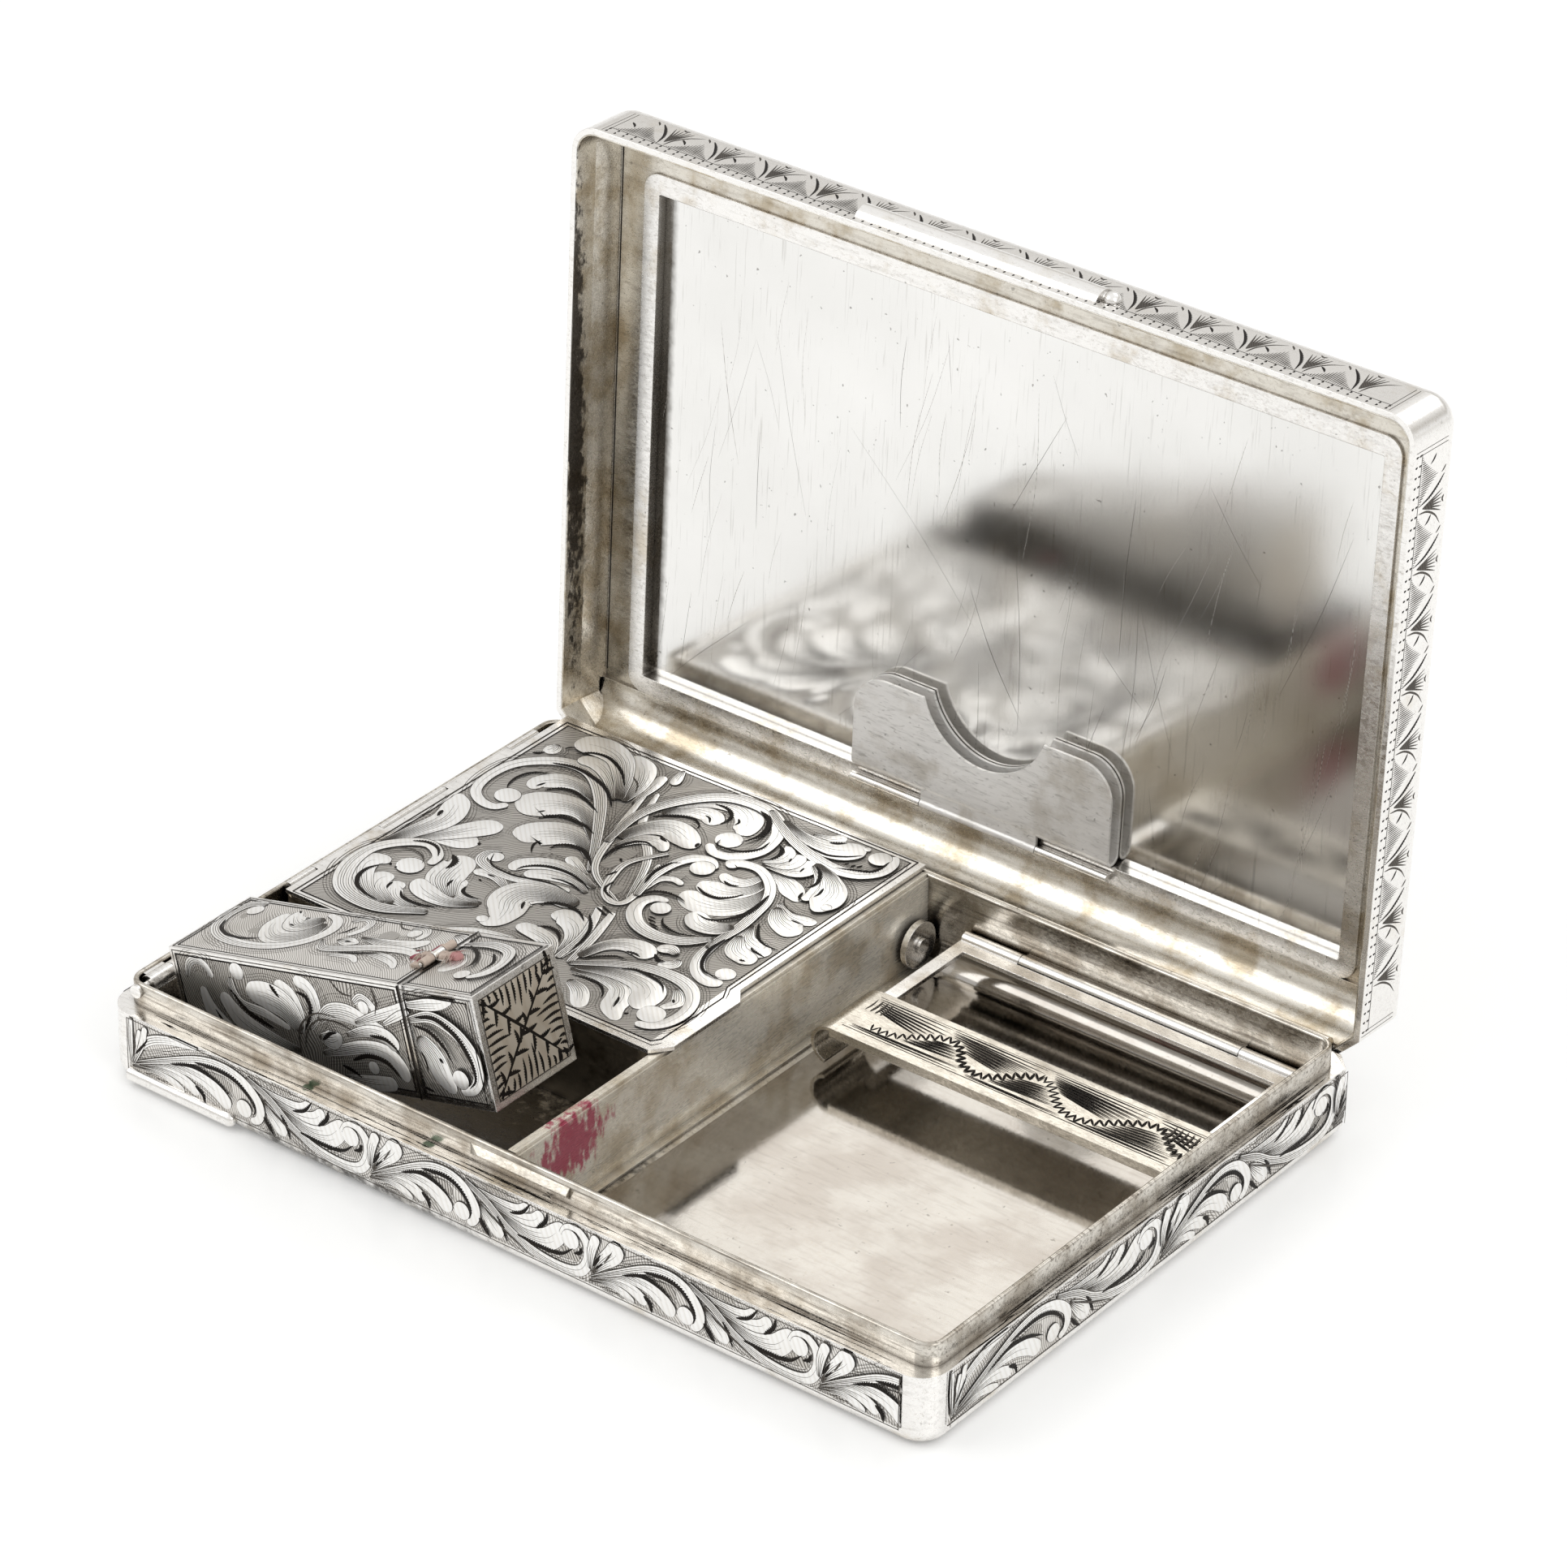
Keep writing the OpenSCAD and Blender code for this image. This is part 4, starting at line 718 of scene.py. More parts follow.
wallScroll = {
    "pitch": 35.5,
    "patches": [
        (10, 4, 0.9, 12, 4.2, 1, 13.5, 3.8, 0.8), (19, 7.4, 0.5, 22.5, 7.4, 0.5), (31, 3.2, 0.8, 34, 3.1, 0.8),
    ],
    "leaves": [
        (0, 0.6, 0.1, 3.5, 1.2, 0.3, 5.5, 0.9, 0.5, 7, 0.2, 0.4),
        (1, 1.2, 0.2, 4.5, 2.2, 0.4, 7, 2, 0.7, 9, 0.9, 0.7),
        (1, 1.5, 0.2, 5, 3.4, 0.5, 9, 3.6, 0.8, 11.5, 2.6, 1, 13.2, 1, 0.9),
        (17.8, 4.5, 0.2, 19, 3.3, 0.7, 20.3, 2, 1, 21.5, 0.7, 0.8),
        (16.5, 6.4, 0.2, 20.5, 6, 0.4, 24, 6.1, 0.6, 25.8, 7.4, 0.5),
        (18, 5.8, 0.2, 22.5, 4.9, 0.5, 26.3, 5.4, 0.8, 28, 7.2, 0.6),
        (20, 4.6, 0.3, 25, 3.2, 0.9, 28.5, 3.6, 1.3, 30.5, 5.4, 1.2, 31.3, 7, 0.7),
        (15.5, 6.9, 0.3, 19, 5.2, 0.45, 22.5, 2.7, 0.5, 26.5, 1.1, 0.55, 31, 0.6, 0.6, 34, 1.3, 0.65, 35.3, 3.4, 0.65,
         35.1, 5.8, 0.55, 33.6, 7.2, 0.45, 31.8, 6.9, 0.3, 30.9, 5.6, 0.2),
        (0.3, 1.2, 0.15, 4.2, 3.5, 0.35, 9, 6.1, 0.5, 12.3, 6.8, 0.55, 15, 6.1, 0.6, 16.8, 4.4, 0.6, 17.4, 2.8, 0.6,
         17, 1.3, 0.5, 16, 0.6, 0.4),
    ],
    "bulbs": [(15.1, 2, 1.25), (32.5, 5.3, 1.35)],
    "cuts": [
        (0.36, 8.5, 5.6, 12, 6.1, 14.2, 5.6, 15.8, 4.2, 16.6, 2.6, 16.3, 1.5),
        (0.3, 5.2, 3.6, 8.2, 4.8, 11, 4.4, 13.6, 2.9), (0.32, 8.5, 2, 9.5, 1.2, 9.8, 0),
        (0.26, 20.8, 3.8, 21.8, 2.3, 22.4, 0.5), (0.3, 17.9, 2.2, 19, 0.8, 19.8, 0),
        (0.26, 22.8, 5.1, 24.8, 6, 26.1, 7.7), (0.3, 27.1, 4.6, 28.5, 6.2, 28.8, 7.6),
        (0.3, 24, 2.4, 28, 2.2, 31, 2.6, 33, 4.2), (0.26, 34.2, 4.8, 34, 3.9, 33, 3.5),
        (0.14, 18.5, 4.2, 22, 2.2, 26, 0.4),
    ],
}
rootSprig = {
    "leaves": [(0.6, 2, 0.2, 2, 4, 0.9, 3.8, 6, 1.3, 4.6, 7.8, 1.2), (0.2, 2.4, 0.2, 0.4, 5, 0.6, 1.2, 7.6, 0.7)],
    "cuts": [(0.2, 0.7, 3, 1.4, 4.3, 1.8, 5.2), (0.16, 1, 2.7, 2.2, 4), (0.12, 2.4, 4.2, 3.6, 6.2)],
}
cornerFan = {
    "leaves": [
        (0.9, 1.8, 0.2, 3.2, 5.2, 0.6, 7, 7, 0.6, 12, 7.8, 0.3), (0.6, 1.2, 0.15, 0.5, 4.5, 0.35, 0.6, 7.8, 0.3),
        (0.8, 1.2, 0.15, 1.6, 4.2, 0.4, 2.1, 6.6, 0.3), (1, 1.2, 0.15, 2.4, 4.5, 0.45, 3.1, 7.4, 0.4),
    ],
    "cuts": [(0.18, 1.2, 2.6, 2.6, 4.4, 3.5, 5.8), (0.14, 0.9, 2, 1.2, 4, 1.2, 6)],
}
wall = {
    "foot": 2.3,
    "head": 10.2,
    "sideGrow": 1.07,
    "fatter": 1.15,
    "inset": 0.1,
    "frame": (0.08, 0.07),  # inset and half width of its line
}
# The first arch is stretched up to its bend, and the second starts after it.
arches = {"start": 0.6, "stretch": 1.27, "bend": 17.0, "shift": 5.2, "second": 40.8}


def engraveWall(name, origin, along, length, unit):
    panel = newPanel(origin, along, (0, 0, 1), (0, 0), (length, wall["head"] - wall["foot"]))
    groundSheet(panel, wall["inset"], groundKind)

    def firstArch(x, y):
        longer = arches["start"] + arches["stretch"] * x
        return (longer if x <= arches["bend"] else x + arches["shift"]) * unit, y

    places = [firstArch]
    start = arches["second"] * unit
    while start < length:
        places.append(lambda x, y, start=start: (start + x * unit, y))
        start += wallScroll["pitch"] * unit
    for place in places:
        echoLeaves(panel, wallScroll, place, wall["fatter"])
    for place in places:
        carve(panel, wallScroll, place, wall["fatter"])
    carve(panel, cornerFan)
    for place in places[1:]:
        carve(panel, rootSprig, place)
    frameLine(panel, *wall["frame"], lineKind)
    return finishPanel(panel, name, "base")


count = engraveWall("engraving_front", (-62, -46, wall["foot"]), (1, 0, 0), 124.0, 1.0)
count += engraveWall("engraving_right", (66, -42, wall["foot"]), (0, 1, 0), 84.0, wall["sideGrow"])
count += engraveWall("engraving_left", (-66, 42, wall["foot"]), (0, -1, 0), 84.0, wall["sideGrow"])
print("walls engraved,", count, "faces")

# The powder lid: one large composition of scrolls that grow from the front edge

plateScroll = {
    "patches": [
        (-56, 22.5, 0.8, -55.2, 25.5, 1, -54.8, 29, 0.8), (-41.5, 14, 0.9, -38, 15, 0.9),
        (-56, -7.5, 0.8, -55.5, -4.5, 0.9), (-50, -5.8, 0.7, -46, -6, 0.8), (-36.5, 8, 0.4, -31.5, 7.9, 0.4),
        (-33, 2, 1, -30.2, 2.7, 1), (-28.5, 10.5, 0.8, -28.6, 13, 0.8), (-33.5, 15, 1, -33, 21, 1.2),
        (-31, 35.5, 0.9, -30, 35, 0.8), (-34, 29.8, 0.8, -31, 30.6, 0.7), (-18.5, 24.8, 1, -18.3, 24.9, 1),
        (-24.6, 18.5, 1, -24.6, 20.5, 1.1), (-17, -10.3, 1.2, -16, -8.6, 1.1), (-18.5, -3.2, 0.8, -14.5, -2.8, 0.6),
        (-13.5, 15, 0.5, -13, 19.5, 0.5), (-58.8, -13.2, 0.7, -58.2, -13.2, 0.7),
    ],
    "leaves": [
        # upper left scroll
        (-34, 12, 0.3, -36.5, 13.2, 0.6, -38.6, 14.2, 0.6),
        (-36, 15.5, 0.4, -39.5, 18.3, 1, -43, 18, 1.8, -45.8, 15.5, 1.9, -46, 13.2, 1.2),
        (-38, 19, 0.4, -43, 23.5, 1, -47, 24, 1.6, -50, 21.8, 2.2, -51, 18.8, 1.6),
        (-45, 27.5, 0.4, -49, 29, 0.8, -52, 28.3, 1.2, -53.8, 26.3, 1, -53.6, 24.4, 0.5),
        (-34, 13, 0.3, -40, 22, 0.5, -45, 28.5, 0.6, -50, 32.5, 0.7, -55, 32.2, 0.7, -59, 28.5, 0.6, -60, 24, 0.5,
         -59.2, 19.8, 0.5, -57, 17.8, 0.5, -54.5, 17.6, 0.5, -53.2, 19.2, 0.4),
        # leaves along the left border
        (-59, 3, 0.2, -56, 6.2, 0.6, -52.5, 8.2, 1.3, -49.8, 8.9, 0.8),
        (-59, 3, 0.2, -55, 8, 0.9, -52, 12.5, 1.3, -50.2, 14.6, 0.9),
        (-59.9, 1, 0.3, -58.5, 6, 0.9, -57.3, 11, 1.3, -58.5, 15, 1.2, -60, 17.3, 0.3),
        # lower left scroll
        (-40, -2, 0.3, -44, -2.7, 0.8, -45.6, -1, 0.9, -45.3, 1.2, 0.8),
        (-44, -3.8, 0.6, -47.3, -1, 1.6, -48.2, 1.5, 1.7, -48.6, 4, 1.4, -50, 5.2, 0.4),
        (-40, -2.5, 0.3, -44, -4.6, 0.8, -48, -4.2, 1.1, -50.3, -2.6, 0.6),
        (-46, -8.3, 0.4, -49.5, -8, 0.8, -51.4, -6.2, 0.9, -51, -4.5, 0.6),
        (-49, -9.4, 0.4, -53, -8, 1, -54.2, -5.8, 1.1, -53.4, -3.9, 0.7),
        (-50, -10.2, 0.6, -54, -9, 0.9, -57.3, -6, 1.2, -58.3, -3.5, 1.2, -57.2, -2, 0.9, -55.8, -1.9, 0.4),
        (-44, -8, 0.4, -50, -11.3, 0.7, -56, -10.7, 0.8, -59.3, -6.5, 0.8, -60, -1, 0.6, -57.8, 3, 0.6, -54.8, 4.9,
         0.6, -52, 3.4, 0.5, -51.4, 1, 0.4),
        # small spiral above it
        (-31, 8.6, 0.3, -34, 9.6, 0.6, -37.5, 9, 0.8, -40.5, 7.2, 0.6),
        (-31, 10.2, 0.3, -35, 11.4, 0.6, -39, 11.2, 0.9, -42, 9, 0.9, -42.6, 6.8, 0.5),
        (-40, 3, 0.3, -43, 4.3, 0.6, -46, 3.6, 0.5),
        (-45.9, 9.3, 0.3, -47.4, 8.2, 0.4, -47, 6.2, 0.5, -44.5, 5.3, 0.5, -41, 5.4, 0.5, -37.5, 6.5, 0.5, -33, 7.6,
         0.4),
        # centre leaf
        (-24, -6, 0.4, -25, -1, 1, -27, 1.6, 1.3, -29.5, 2.3, 1.2, -31.2, 1.6, 0.6),
        (-25, -6, 0.4, -27.5, -3.6, 0.9, -31, -3, 0.9, -33, -3.2, 0.6),
        (-26, -9, 0.4, -30, -7.4, 1.1, -35, -8.2, 1.2, -39, -10.5, 0.9, -41, -13, 0.4),
        (-25, -11, 0.4, -29, -11.4, 1, -34, -12.4, 0.8, -37, -13.8, 0.3),
        (-30, 5.5, 1, -34, 5.3, 1.3, -37, 3.5, 1.9, -37.5, 1, 2, -36.3, -1.5, 1.6, -35.8, -4, 0.9, -37.2, -5.7, 0.5),
        # stems
        (-26, 9, 0.2, -34, 14, 0.3, -38, 24, 0.35, -41, 34, 0.2),
        (-25.5, 10, 0.2, -30, 20, 0.4, -36.5, 27, 0.4, -39.5, 34, 0.2),
        (-24, -6, 0.3, -24.6, 0, 0.4, -26, 4, 0.4, -27.5, 7, 0.3),
        (-22, -6, 0.3, -23.2, 0, 0.4, -24.3, 4, 0.4, -25.2, 7, 0.3),
        (-28.8, 23, 0.2, -31.5, 18, 0.3, -31, 14, 0.35, -29.5, 10.5, 0.35, -27.5, 9, 0.35, -26, 9.3, 0.3, -25.6, 11,
         0.3, -26.5, 15, 0.3, -28, 20, 0.2),
        # upper centre scroll
        (-35.5, 20, 0.3, -34, 23.3, 0.7, -31.5, 24.3, 0.8, -29.6, 23, 0.4),
        (-36.5, 22, 0.5, -35, 26, 1, -32.5, 28, 1.5, -29.5, 27.3, 1.4, -27, 26, 0.7),
        (-36, 30.5, 0.4, -33.5, 33.3, 0.9, -30.5, 34, 1.1, -28.8, 32.4, 0.9),
        (-36, 33, 0.5, -33, 36.5, 0.8, -29, 38, 1.1, -26, 36.6, 1.3, -24.8, 34, 1.1, -24.7, 32.6, 0.5),
        (-37, 20, 0.3, -38, 28, 0.5, -36, 34, 0.6, -32, 38.7, 0.7, -27, 39.9, 0.7, -23, 38.6, 0.7, -20.5, 35.7, 0.6,
         -19.6, 32, 0.6, -20.2, 29.4, 0.6, -22, 27.3, 0.6, -24.4, 26.9, 0.5, -26.2, 28.2, 0.4),
        # upper right scroll
        (-17, 38.8, 0.3, -14.5, 39.4, 0.6, -13, 41, 0.7),
        (-22, 39, 0.4, -18, 37.3, 0.8, -14, 36.9, 1.2, -11, 38, 1.5, -9.3, 40.3, 1),
        (-25, 40, 0.3, -22, 38, 0.4, -18, 35.8, 0.5, -14, 34.4, 0.6, -10, 33.6, 0.7, -6.5, 34.2, 0.7, -4.3, 36.3, 0.6,
         -4, 39, 0.5, -5, 41, 0.4),
        # fan
        (-17, 28, 0.3, -13, 27.3, 0.8, -10.5, 26, 1.1, -8.2, 24.4, 0.4),
        (-17, 28.6, 0.3, -13.2, 29.5, 0.8, -12.2, 31.2, 1, -13.2, 33, 0.6),
        (-17.5, 29, 0.3, -14.8, 30.2, 0.7, -14.5, 32.2, 0.8, -15, 33.4, 0.4),
        (-18, 29, 0.3, -16.2, 30.8, 0.5, -16.1, 32.7, 0.5, -17.6, 34, 0.3),
        # leaves along the right border
        (-12, 32.5, 0.2, -9, 30, 0.5, -7.9, 27.5, 0.6, -7.8, 24.8, 0.4),
        (-12, 33, 0.3, -8.5, 31.3, 0.8, -6, 28.8, 1.3, -5.3, 26, 1.4, -5, 23.5, 0.4),
        (-10, 22.5, 0.3, -7, 21, 0.6, -4.5, 21.2, 0.7, -3.2, 21.8, 0.4),
        (-9.5, 21.5, 0.4, -7.5, 19.3, 1, -5, 18.4, 1.3, -3.2, 18.3, 1),
        (-9.5, 16, 0.3, -8, 12.9, 0.9, -5.5, 11.8, 1.2, -3.2, 11.9, 1),
        (-9, 13, 0.3, -7.3, 10, 1, -5, 9.2, 1, -3.6, 8.6, 0.7),
        (-10.3, 15, 0.3, -10.3, 9, 0.5, -9.6, 5.3, 0.6, -7.7, 2.8, 0.7, -5.2, 1.9, 0.7, -3.7, 2.8, 0.5),
        # middle spiral
        (-13, 24, 0.5, -13, 20.5, 1, -15, 17.3, 1.5, -18.5, 16.2, 1.6, -21.5, 17, 0.8),
        (-14.5, 25.5, 0.4, -15, 22.5, 0.8, -17, 20.2, 1.2, -19.5, 19.9, 1.2, -21.3, 20.3, 0.6),
        (-15.5, 26.2, 0.3, -16.5, 23.6, 0.6, -18.5, 22.9, 0.7, -20.3, 23.6, 0.4),
        (-10.5, 8, 0.3, -10.2, 14, 0.5, -10.6, 18, 0.5, -11.5, 22, 0.5, -13.7, 25.3, 0.5, -17, 27.3, 0.5, -20, 26.8,
         0.6, -20.9, 25.2, 0.8), (-25.7, 14, 0.2, -25.8, 17, 0.4, -24.3, 18.3, 0.4, -22.5, 18, 0.3),
        (-25.5, 12, 0.3, -26.8, 17, 0.5, -26.6, 21, 0.5, -25.5, 23.9, 0.6, -23.3, 24.9, 0.5, -21.6, 23.6, 0.4),
        # lower spiral
        (-10.8, 14, 0.5, -12.5, 12.2, 1, -15, 12.1, 1.2, -17, 13.8, 0.8),
        (-11, 10, 0.3, -13.7, 7.2, 0.6, -17, 6, 0.7, -20.5, 6.5, 0.7, -23, 8.5, 0.7, -23.9, 11, 0.6, -23.1, 13, 0.5,
         -21.3, 13.6, 0.3),
        # lower right scroll
        (-22, -4, 0.4, -21, 0, 0.7, -19, 2, 1, -16.5, 2.3, 1.2, -15, 0.8, 0.8),
        (-12.3, 4.2, 0.3, -13.8, 4.6, 0.7, -15.2, 3.6, 0.5), (-11.5, 3.6, 0.3, -11.4, 2.2, 0.6, -13, 1, 0.5),
        (-21, -6.8, 0.3, -17, -5.8, 0.7, -13.5, -6.2, 1, -11.9, -8, 1.2, -11, -10.5, 1.1, -8.8, -12.6, 0.4),
        (-19.5, -9, 0.4, -17, -10, 0.8, -15.3, -12, 0.8, -14.5, -13.3, 0.5),
        (-21, -6, 0.4, -16, -4, 0.9, -12, -3.6, 1.3, -9.7, -4.8, 1.5, -9, -7, 1.3, -8.8, -9, 0.8),
        (-7.5, -2, 0.2, -6, -3.3, 0.6, -5.3, -4.7, 0.6, -6.3, -6.8, 0.3),
        (-22, -6, 0.3, -17, -2.3, 0.5, -13, -0.5, 0.6, -9, -0.1, 0.7, -6, -1, 0.7, -3.9, -3.2, 0.6, -3, -6, 0.6, -3.3,
         -9, 0.6, -4.6, -11, 0.5, -6.5, -11.6, 0.4),
        # upper left leaves
        (-40.6, 30, 0.2, -41, 35, 0.5, -41.6, 38, 0.5),
        (-41.8, 29.5, 0.3, -42.8, 34, 0.9, -45, 37.7, 1.2, -48, 39.6, 0.5),
        (-43, 29, 0.3, -47, 33, 0.7, -50.5, 34.8, 0.9, -53.5, 34.3, 0.7),
        (-42.5, 29.5, 0.4, -45.5, 34, 0.9, -49, 37.6, 1.3, -53, 38.5, 1.6, -56.5, 37.2, 1.3),
        (-58, 35.6, 0.3, -57.9, 34.2, 0.8, -58.6, 33, 0.4), (-40.5, 40.8, 0.2, -39.8, 38.5, 0.5, -39.4, 37, 0.4),
    ],
    "bulbs": [
        (-54.8, 21, 1.8), (-53.2, -0.8, 1.9), (-45.9, 8, 1.1), (-37.5, -4.8, 0.8), (-24.8, 30.7, 1.9),
        (-6.2, 39.3, 1.6), (-9, 40.2, 0.5), (-23, 22.8, 1.7), (-21, 11.6, 1.4), (-4.7, 4.6, 1.4), (-6.1, -8.8, 1.9),
        (-4.3, 25.2, 0.7),
    ],
    "cuts": [
        (0.35, -55.5, 31.2, -53, 32.1, -51, 32.2, -49, 31.8, -46.5, 31, -44, 29.3, -42, 27.3),
        (0.25, -54, 29, -56, 27.6, -56.8, 25.5, -56.6, 23.5, -56, 22.3),
        (0.3, -51.8, 25, -50.5, 26.8, -48.5, 27.3, -46.5, 26.9, -44, 25.8, -42.5, 25),
        (0.35, -47.8, 19, -47.2, 20.3, -45.5, 21.4, -43.5, 21.6, -41.5, 21.4, -39.5, 20.5),
        (0.35, -41.8, 14, -41.5, 15.3, -40.5, 16.2, -39, 16.6, -37.5, 16.3, -36, 15.3, -34.5, 13.9),
        (0.18, -53, 26.8, -53.5, 25.3), (0.18, -48.4, 21.2, -49, 20.2),
        (0.18, -44, 15, -44.2, 13.9, -43.7, 12.7, -43, 11.8), (0.3, -59, 12.6, -58.6, 11),
        (0.25, -50, 9.5, -49.6, 8.9), (0.3, -57, 4.1, -55.5, 5, -54, 5.1, -52.8, 4.5, -51.8, 3.2),
        (0.12, -57.5, 1.2, -56, 2.3, -54.5, 2.4, -53, 1.7, -52.3, 0.5), (0.2, -55.7, -2, -55.3, -2.1),
        (0.2, -54.6, -2.3, -54.2, -2.3),
        (0.32, -56.5, -3.2, -57.1, -5, -56.8, -7, -55.5, -8.7, -53.5, -9.6, -51, -10),
        (0.2, -52.4, -5.2, -52.3, -6.3, -51.9, -7), (0.28, -50.2, -6.2, -49, -7.2, -47, -7.4, -45, -6.9, -43.8, -6.2),
        (0.45, -50.7, 4.9, -49.5, 4, -49.1, 2.8, -49.2, 1.6), (0.28, -44.3, 0, -43.8, -1.2, -42.5, -1.6, -41, -1.4),
        (0.2, -46.6, 0.2, -46.5, -0.8, -46.1, -1.8),
        (0.16, -46.7, 8.6, -45.8, 6.8, -44.8, 6.1, -43, 5.9, -41, 6, -38.5, 6.8, -35.5, 7.5, -32, 7),
        (0.3, -41.8, 7.2, -41.5, 8.5, -40, 10, -38, 10.8, -35.5, 10.9, -33, 10.3, -31, 9.2),
        (0.18, -37, 8.5, -35.5, 9, -33.5, 8.9, -31, 8.2), (0.16, -44, 4, -42.8, 4.1), (0.16, -44.2, 2.5, -43.5, 2.2),
        (0.22, -35.8, 1.8, -35.5, 1, -35, 0.2),
        (0.32, -33.7, 2.3, -33.5, 3.3, -32.3, 4.2, -30.5, 4.6, -28.5, 4.2, -26.8, 3),
        (0.28, -30.8, -1.8, -29.5, -1, -28, -1.1, -26.8, -2, -26.2, -3),
        (0.3, -27.3, 4.7, -25.7, 3, -24.7, 1.5, -24.2, 0, -23.8, -2, -23.6, -4), (0.2, -27.8, 6.7, -25.2, 5.8),
        (0.16, -27.4, 7.4, -24.8, 6.5), (0.22, -30, 13, -29.8, 11, -28.6, 10, -27, 9.5),
        (0.3, -31.5, 23, -33, 23.2, -34.3, 22, -35, 20, -35, 18, -34.7, 16), (0.2, -33, 18, -32.3, 17.5),
        (0.2, -31.2, 15.3, -31.5, 14, -31.8, 13.3),
        (0.4, -26, 39, -24, 38.2, -22.6, 36.3, -22.1, 34, -22.6, 32, -23, 31),
        (0.28, -20.1, 33.5, -20, 31.5, -21, 29.8, -22.5, 28.8, -24.3, 28.6, -25.3, 28.8, -25.6, 30),
        (0.18, -27.2, 35.8, -26.5, 35, -26.6, 34), (0.3, -32, 36.8, -30, 36.9, -28.5, 36, -28, 34.5, -28.3, 33.2),
        (0.18, -31.2, 33.7, -30.3, 33.5, -29.5, 32.5),
        (0.3, -36.5, 29, -35, 30.5, -33, 31.8, -31.5, 32, -30.2, 31.2, -30, 30.3), (0.3, -27.3, 27.5, -27, 26.3),
        (0.25, -32.2, 25.4, -30.8, 25.1), (0.16, -7.2, 36.8, -7.6, 35.9), (0.16, -8, 36.4, -8.3, 35.4),
        (0.16, -8.8, 36, -9, 35), (0.28, -4.8, 39.5, -4.7, 37.5, -5.2, 36, -7, 35, -9.5, 33.8),
        (0.3, -14, 38.4, -13, 38.9, -12, 39.8), (0.2, -16, 36, -14, 35.7, -12, 35.8, -10, 37, -8.5, 38.6),
        (0.3, -18.7, 33.7, -17.5, 32.8, -17, 31.3, -17.3, 30, -18, 29.3), (0.16, -15.3, 32, -15, 31),
        (0.16, -12.6, 31.2, -12.4, 30), (0.3, -11.5, 32.5, -10, 31.3, -9, 29.5, -9, 28, -9.5, 27.2),
        (0.22, -9, 26.3, -8.6, 25, -8, 24.8), (0.2, -7.5, 28.8, -7.1, 27.3, -7.2, 26.2),
        (0.12, -10.3, 24, -9, 22.5, -7, 21.8, -5, 22.2), (0.16, -6.3, 20.2, -4.5, 20.2),
        (0.25, -9, 17, -7, 14.3, -5, 13.3, -3, 13.4), (0.22, -6.1, 11.8, -5.5, 11.3, -3.3, 10.9),
        (0.22, -5.5, 8.4, -4.6, 8.6), (0.3, -9.8, 11, -9.8, 8, -8.8, 5, -7.3, 3.4, -5.5, 3.1, -4.6, 3.3),
        (0.25, -19, 22.3, -17.8, 22, -16.6, 22.5), (0.3, -20.8, 19, -19, 18.3, -17, 18.5, -15.5, 20, -14.9, 21.5),
        (0.4, -12, 23, -11.5, 20, -11.6, 17, -12.8, 14.6, -14.5, 13.3, -16.5, 13.5),
        (0.3, -26.5, 15, -27.3, 18, -27, 21, -26, 22), (0.16, -21.2, 9.4, -20, 9.4), (0.16, -21, 8.8, -19.4, 8.7),
        (0.16, -20.2, 8.1, -18.5, 8), (0.16, -19.3, 7.4, -17.7, 7.2),
        (0.25, -19.3, 10, -18.5, 8.9, -17, 8.3, -15, 8.3, -13, 9.3),
        (0.3, -25, 12.5, -24.5, 14, -23, 15, -21, 15.2, -19.5, 14.8), (0.3, -14.7, 2.6, -13.5, 1.8, -12.5, 2),
        (0.25, -18, 0.8, -16.8, 1, -15.7, 0.8), (0.22, -21.5, -4.5, -20, -2.5, -18.3, -1, -17, -0.8, -16.3, -0.8),
        (0.25, -16, -2.8, -14, -1.8, -11, -2, -9.3, -2.6, -8.1, -3.9),
        (0.25, -20, -7.8, -18, -7.3, -15.7, -7.4, -14.2, -8.6, -13.6, -9.8), (0.2, -12, -8, -11.5, -9, -11, -10.5),
        (0.2, -6.2, -4.2, -5.6, -4.9), (0.2, -9, -10.8, -8.6, -10.2),
        (0.3, -54.5, 35, -53, 36.5, -51, 37, -49, 36.5, -46.5, 35, -44, 32.5),
        (0.18, -56.5, 35, -56.2, 35.8, -55.5, 36.3), (0.12, -44.8, 35.2, -43, 34, -41.8, 32),
        (0.3, -59.5, 31.8, -58.7, 32.3, -58.3, 33),
    ],
}
plate = {
    "top": 14.45,
    "low": (-62.1, -15.3),
    "high": (-1.0, 42.4),
    "border": [(-60.25, 40.3), (-2.75, 41.4), (-2.75, 2.5), (-1.6, 0.2), (-1.6, -12.3), (-2.4, -13.5)]
    + [(-60.3, -14.4), (-60.25, 40.3)],
    "borderHalf": 0.1,
    "margin": 0.7,  # gap between the two border lines
    "marginHalf": 0.08,
    "fatter": 1.5,  # the leaves nearly touch each other
}


def outward(corners, reach):
    # The same outline, moved away from its middle by reach.
    corners = np.array(corners, float)
    middle = (corners.max(0) + corners.min(0)) / 2
    half = (corners.max(0) - corners.min(0)) / 2
    return middle + (corners - middle) * (1 + reach / half)


panel = newPanel((0, 0, plate["top"]), (1, 0, 0), (0, 1, 0), plate["low"], plate["high"])
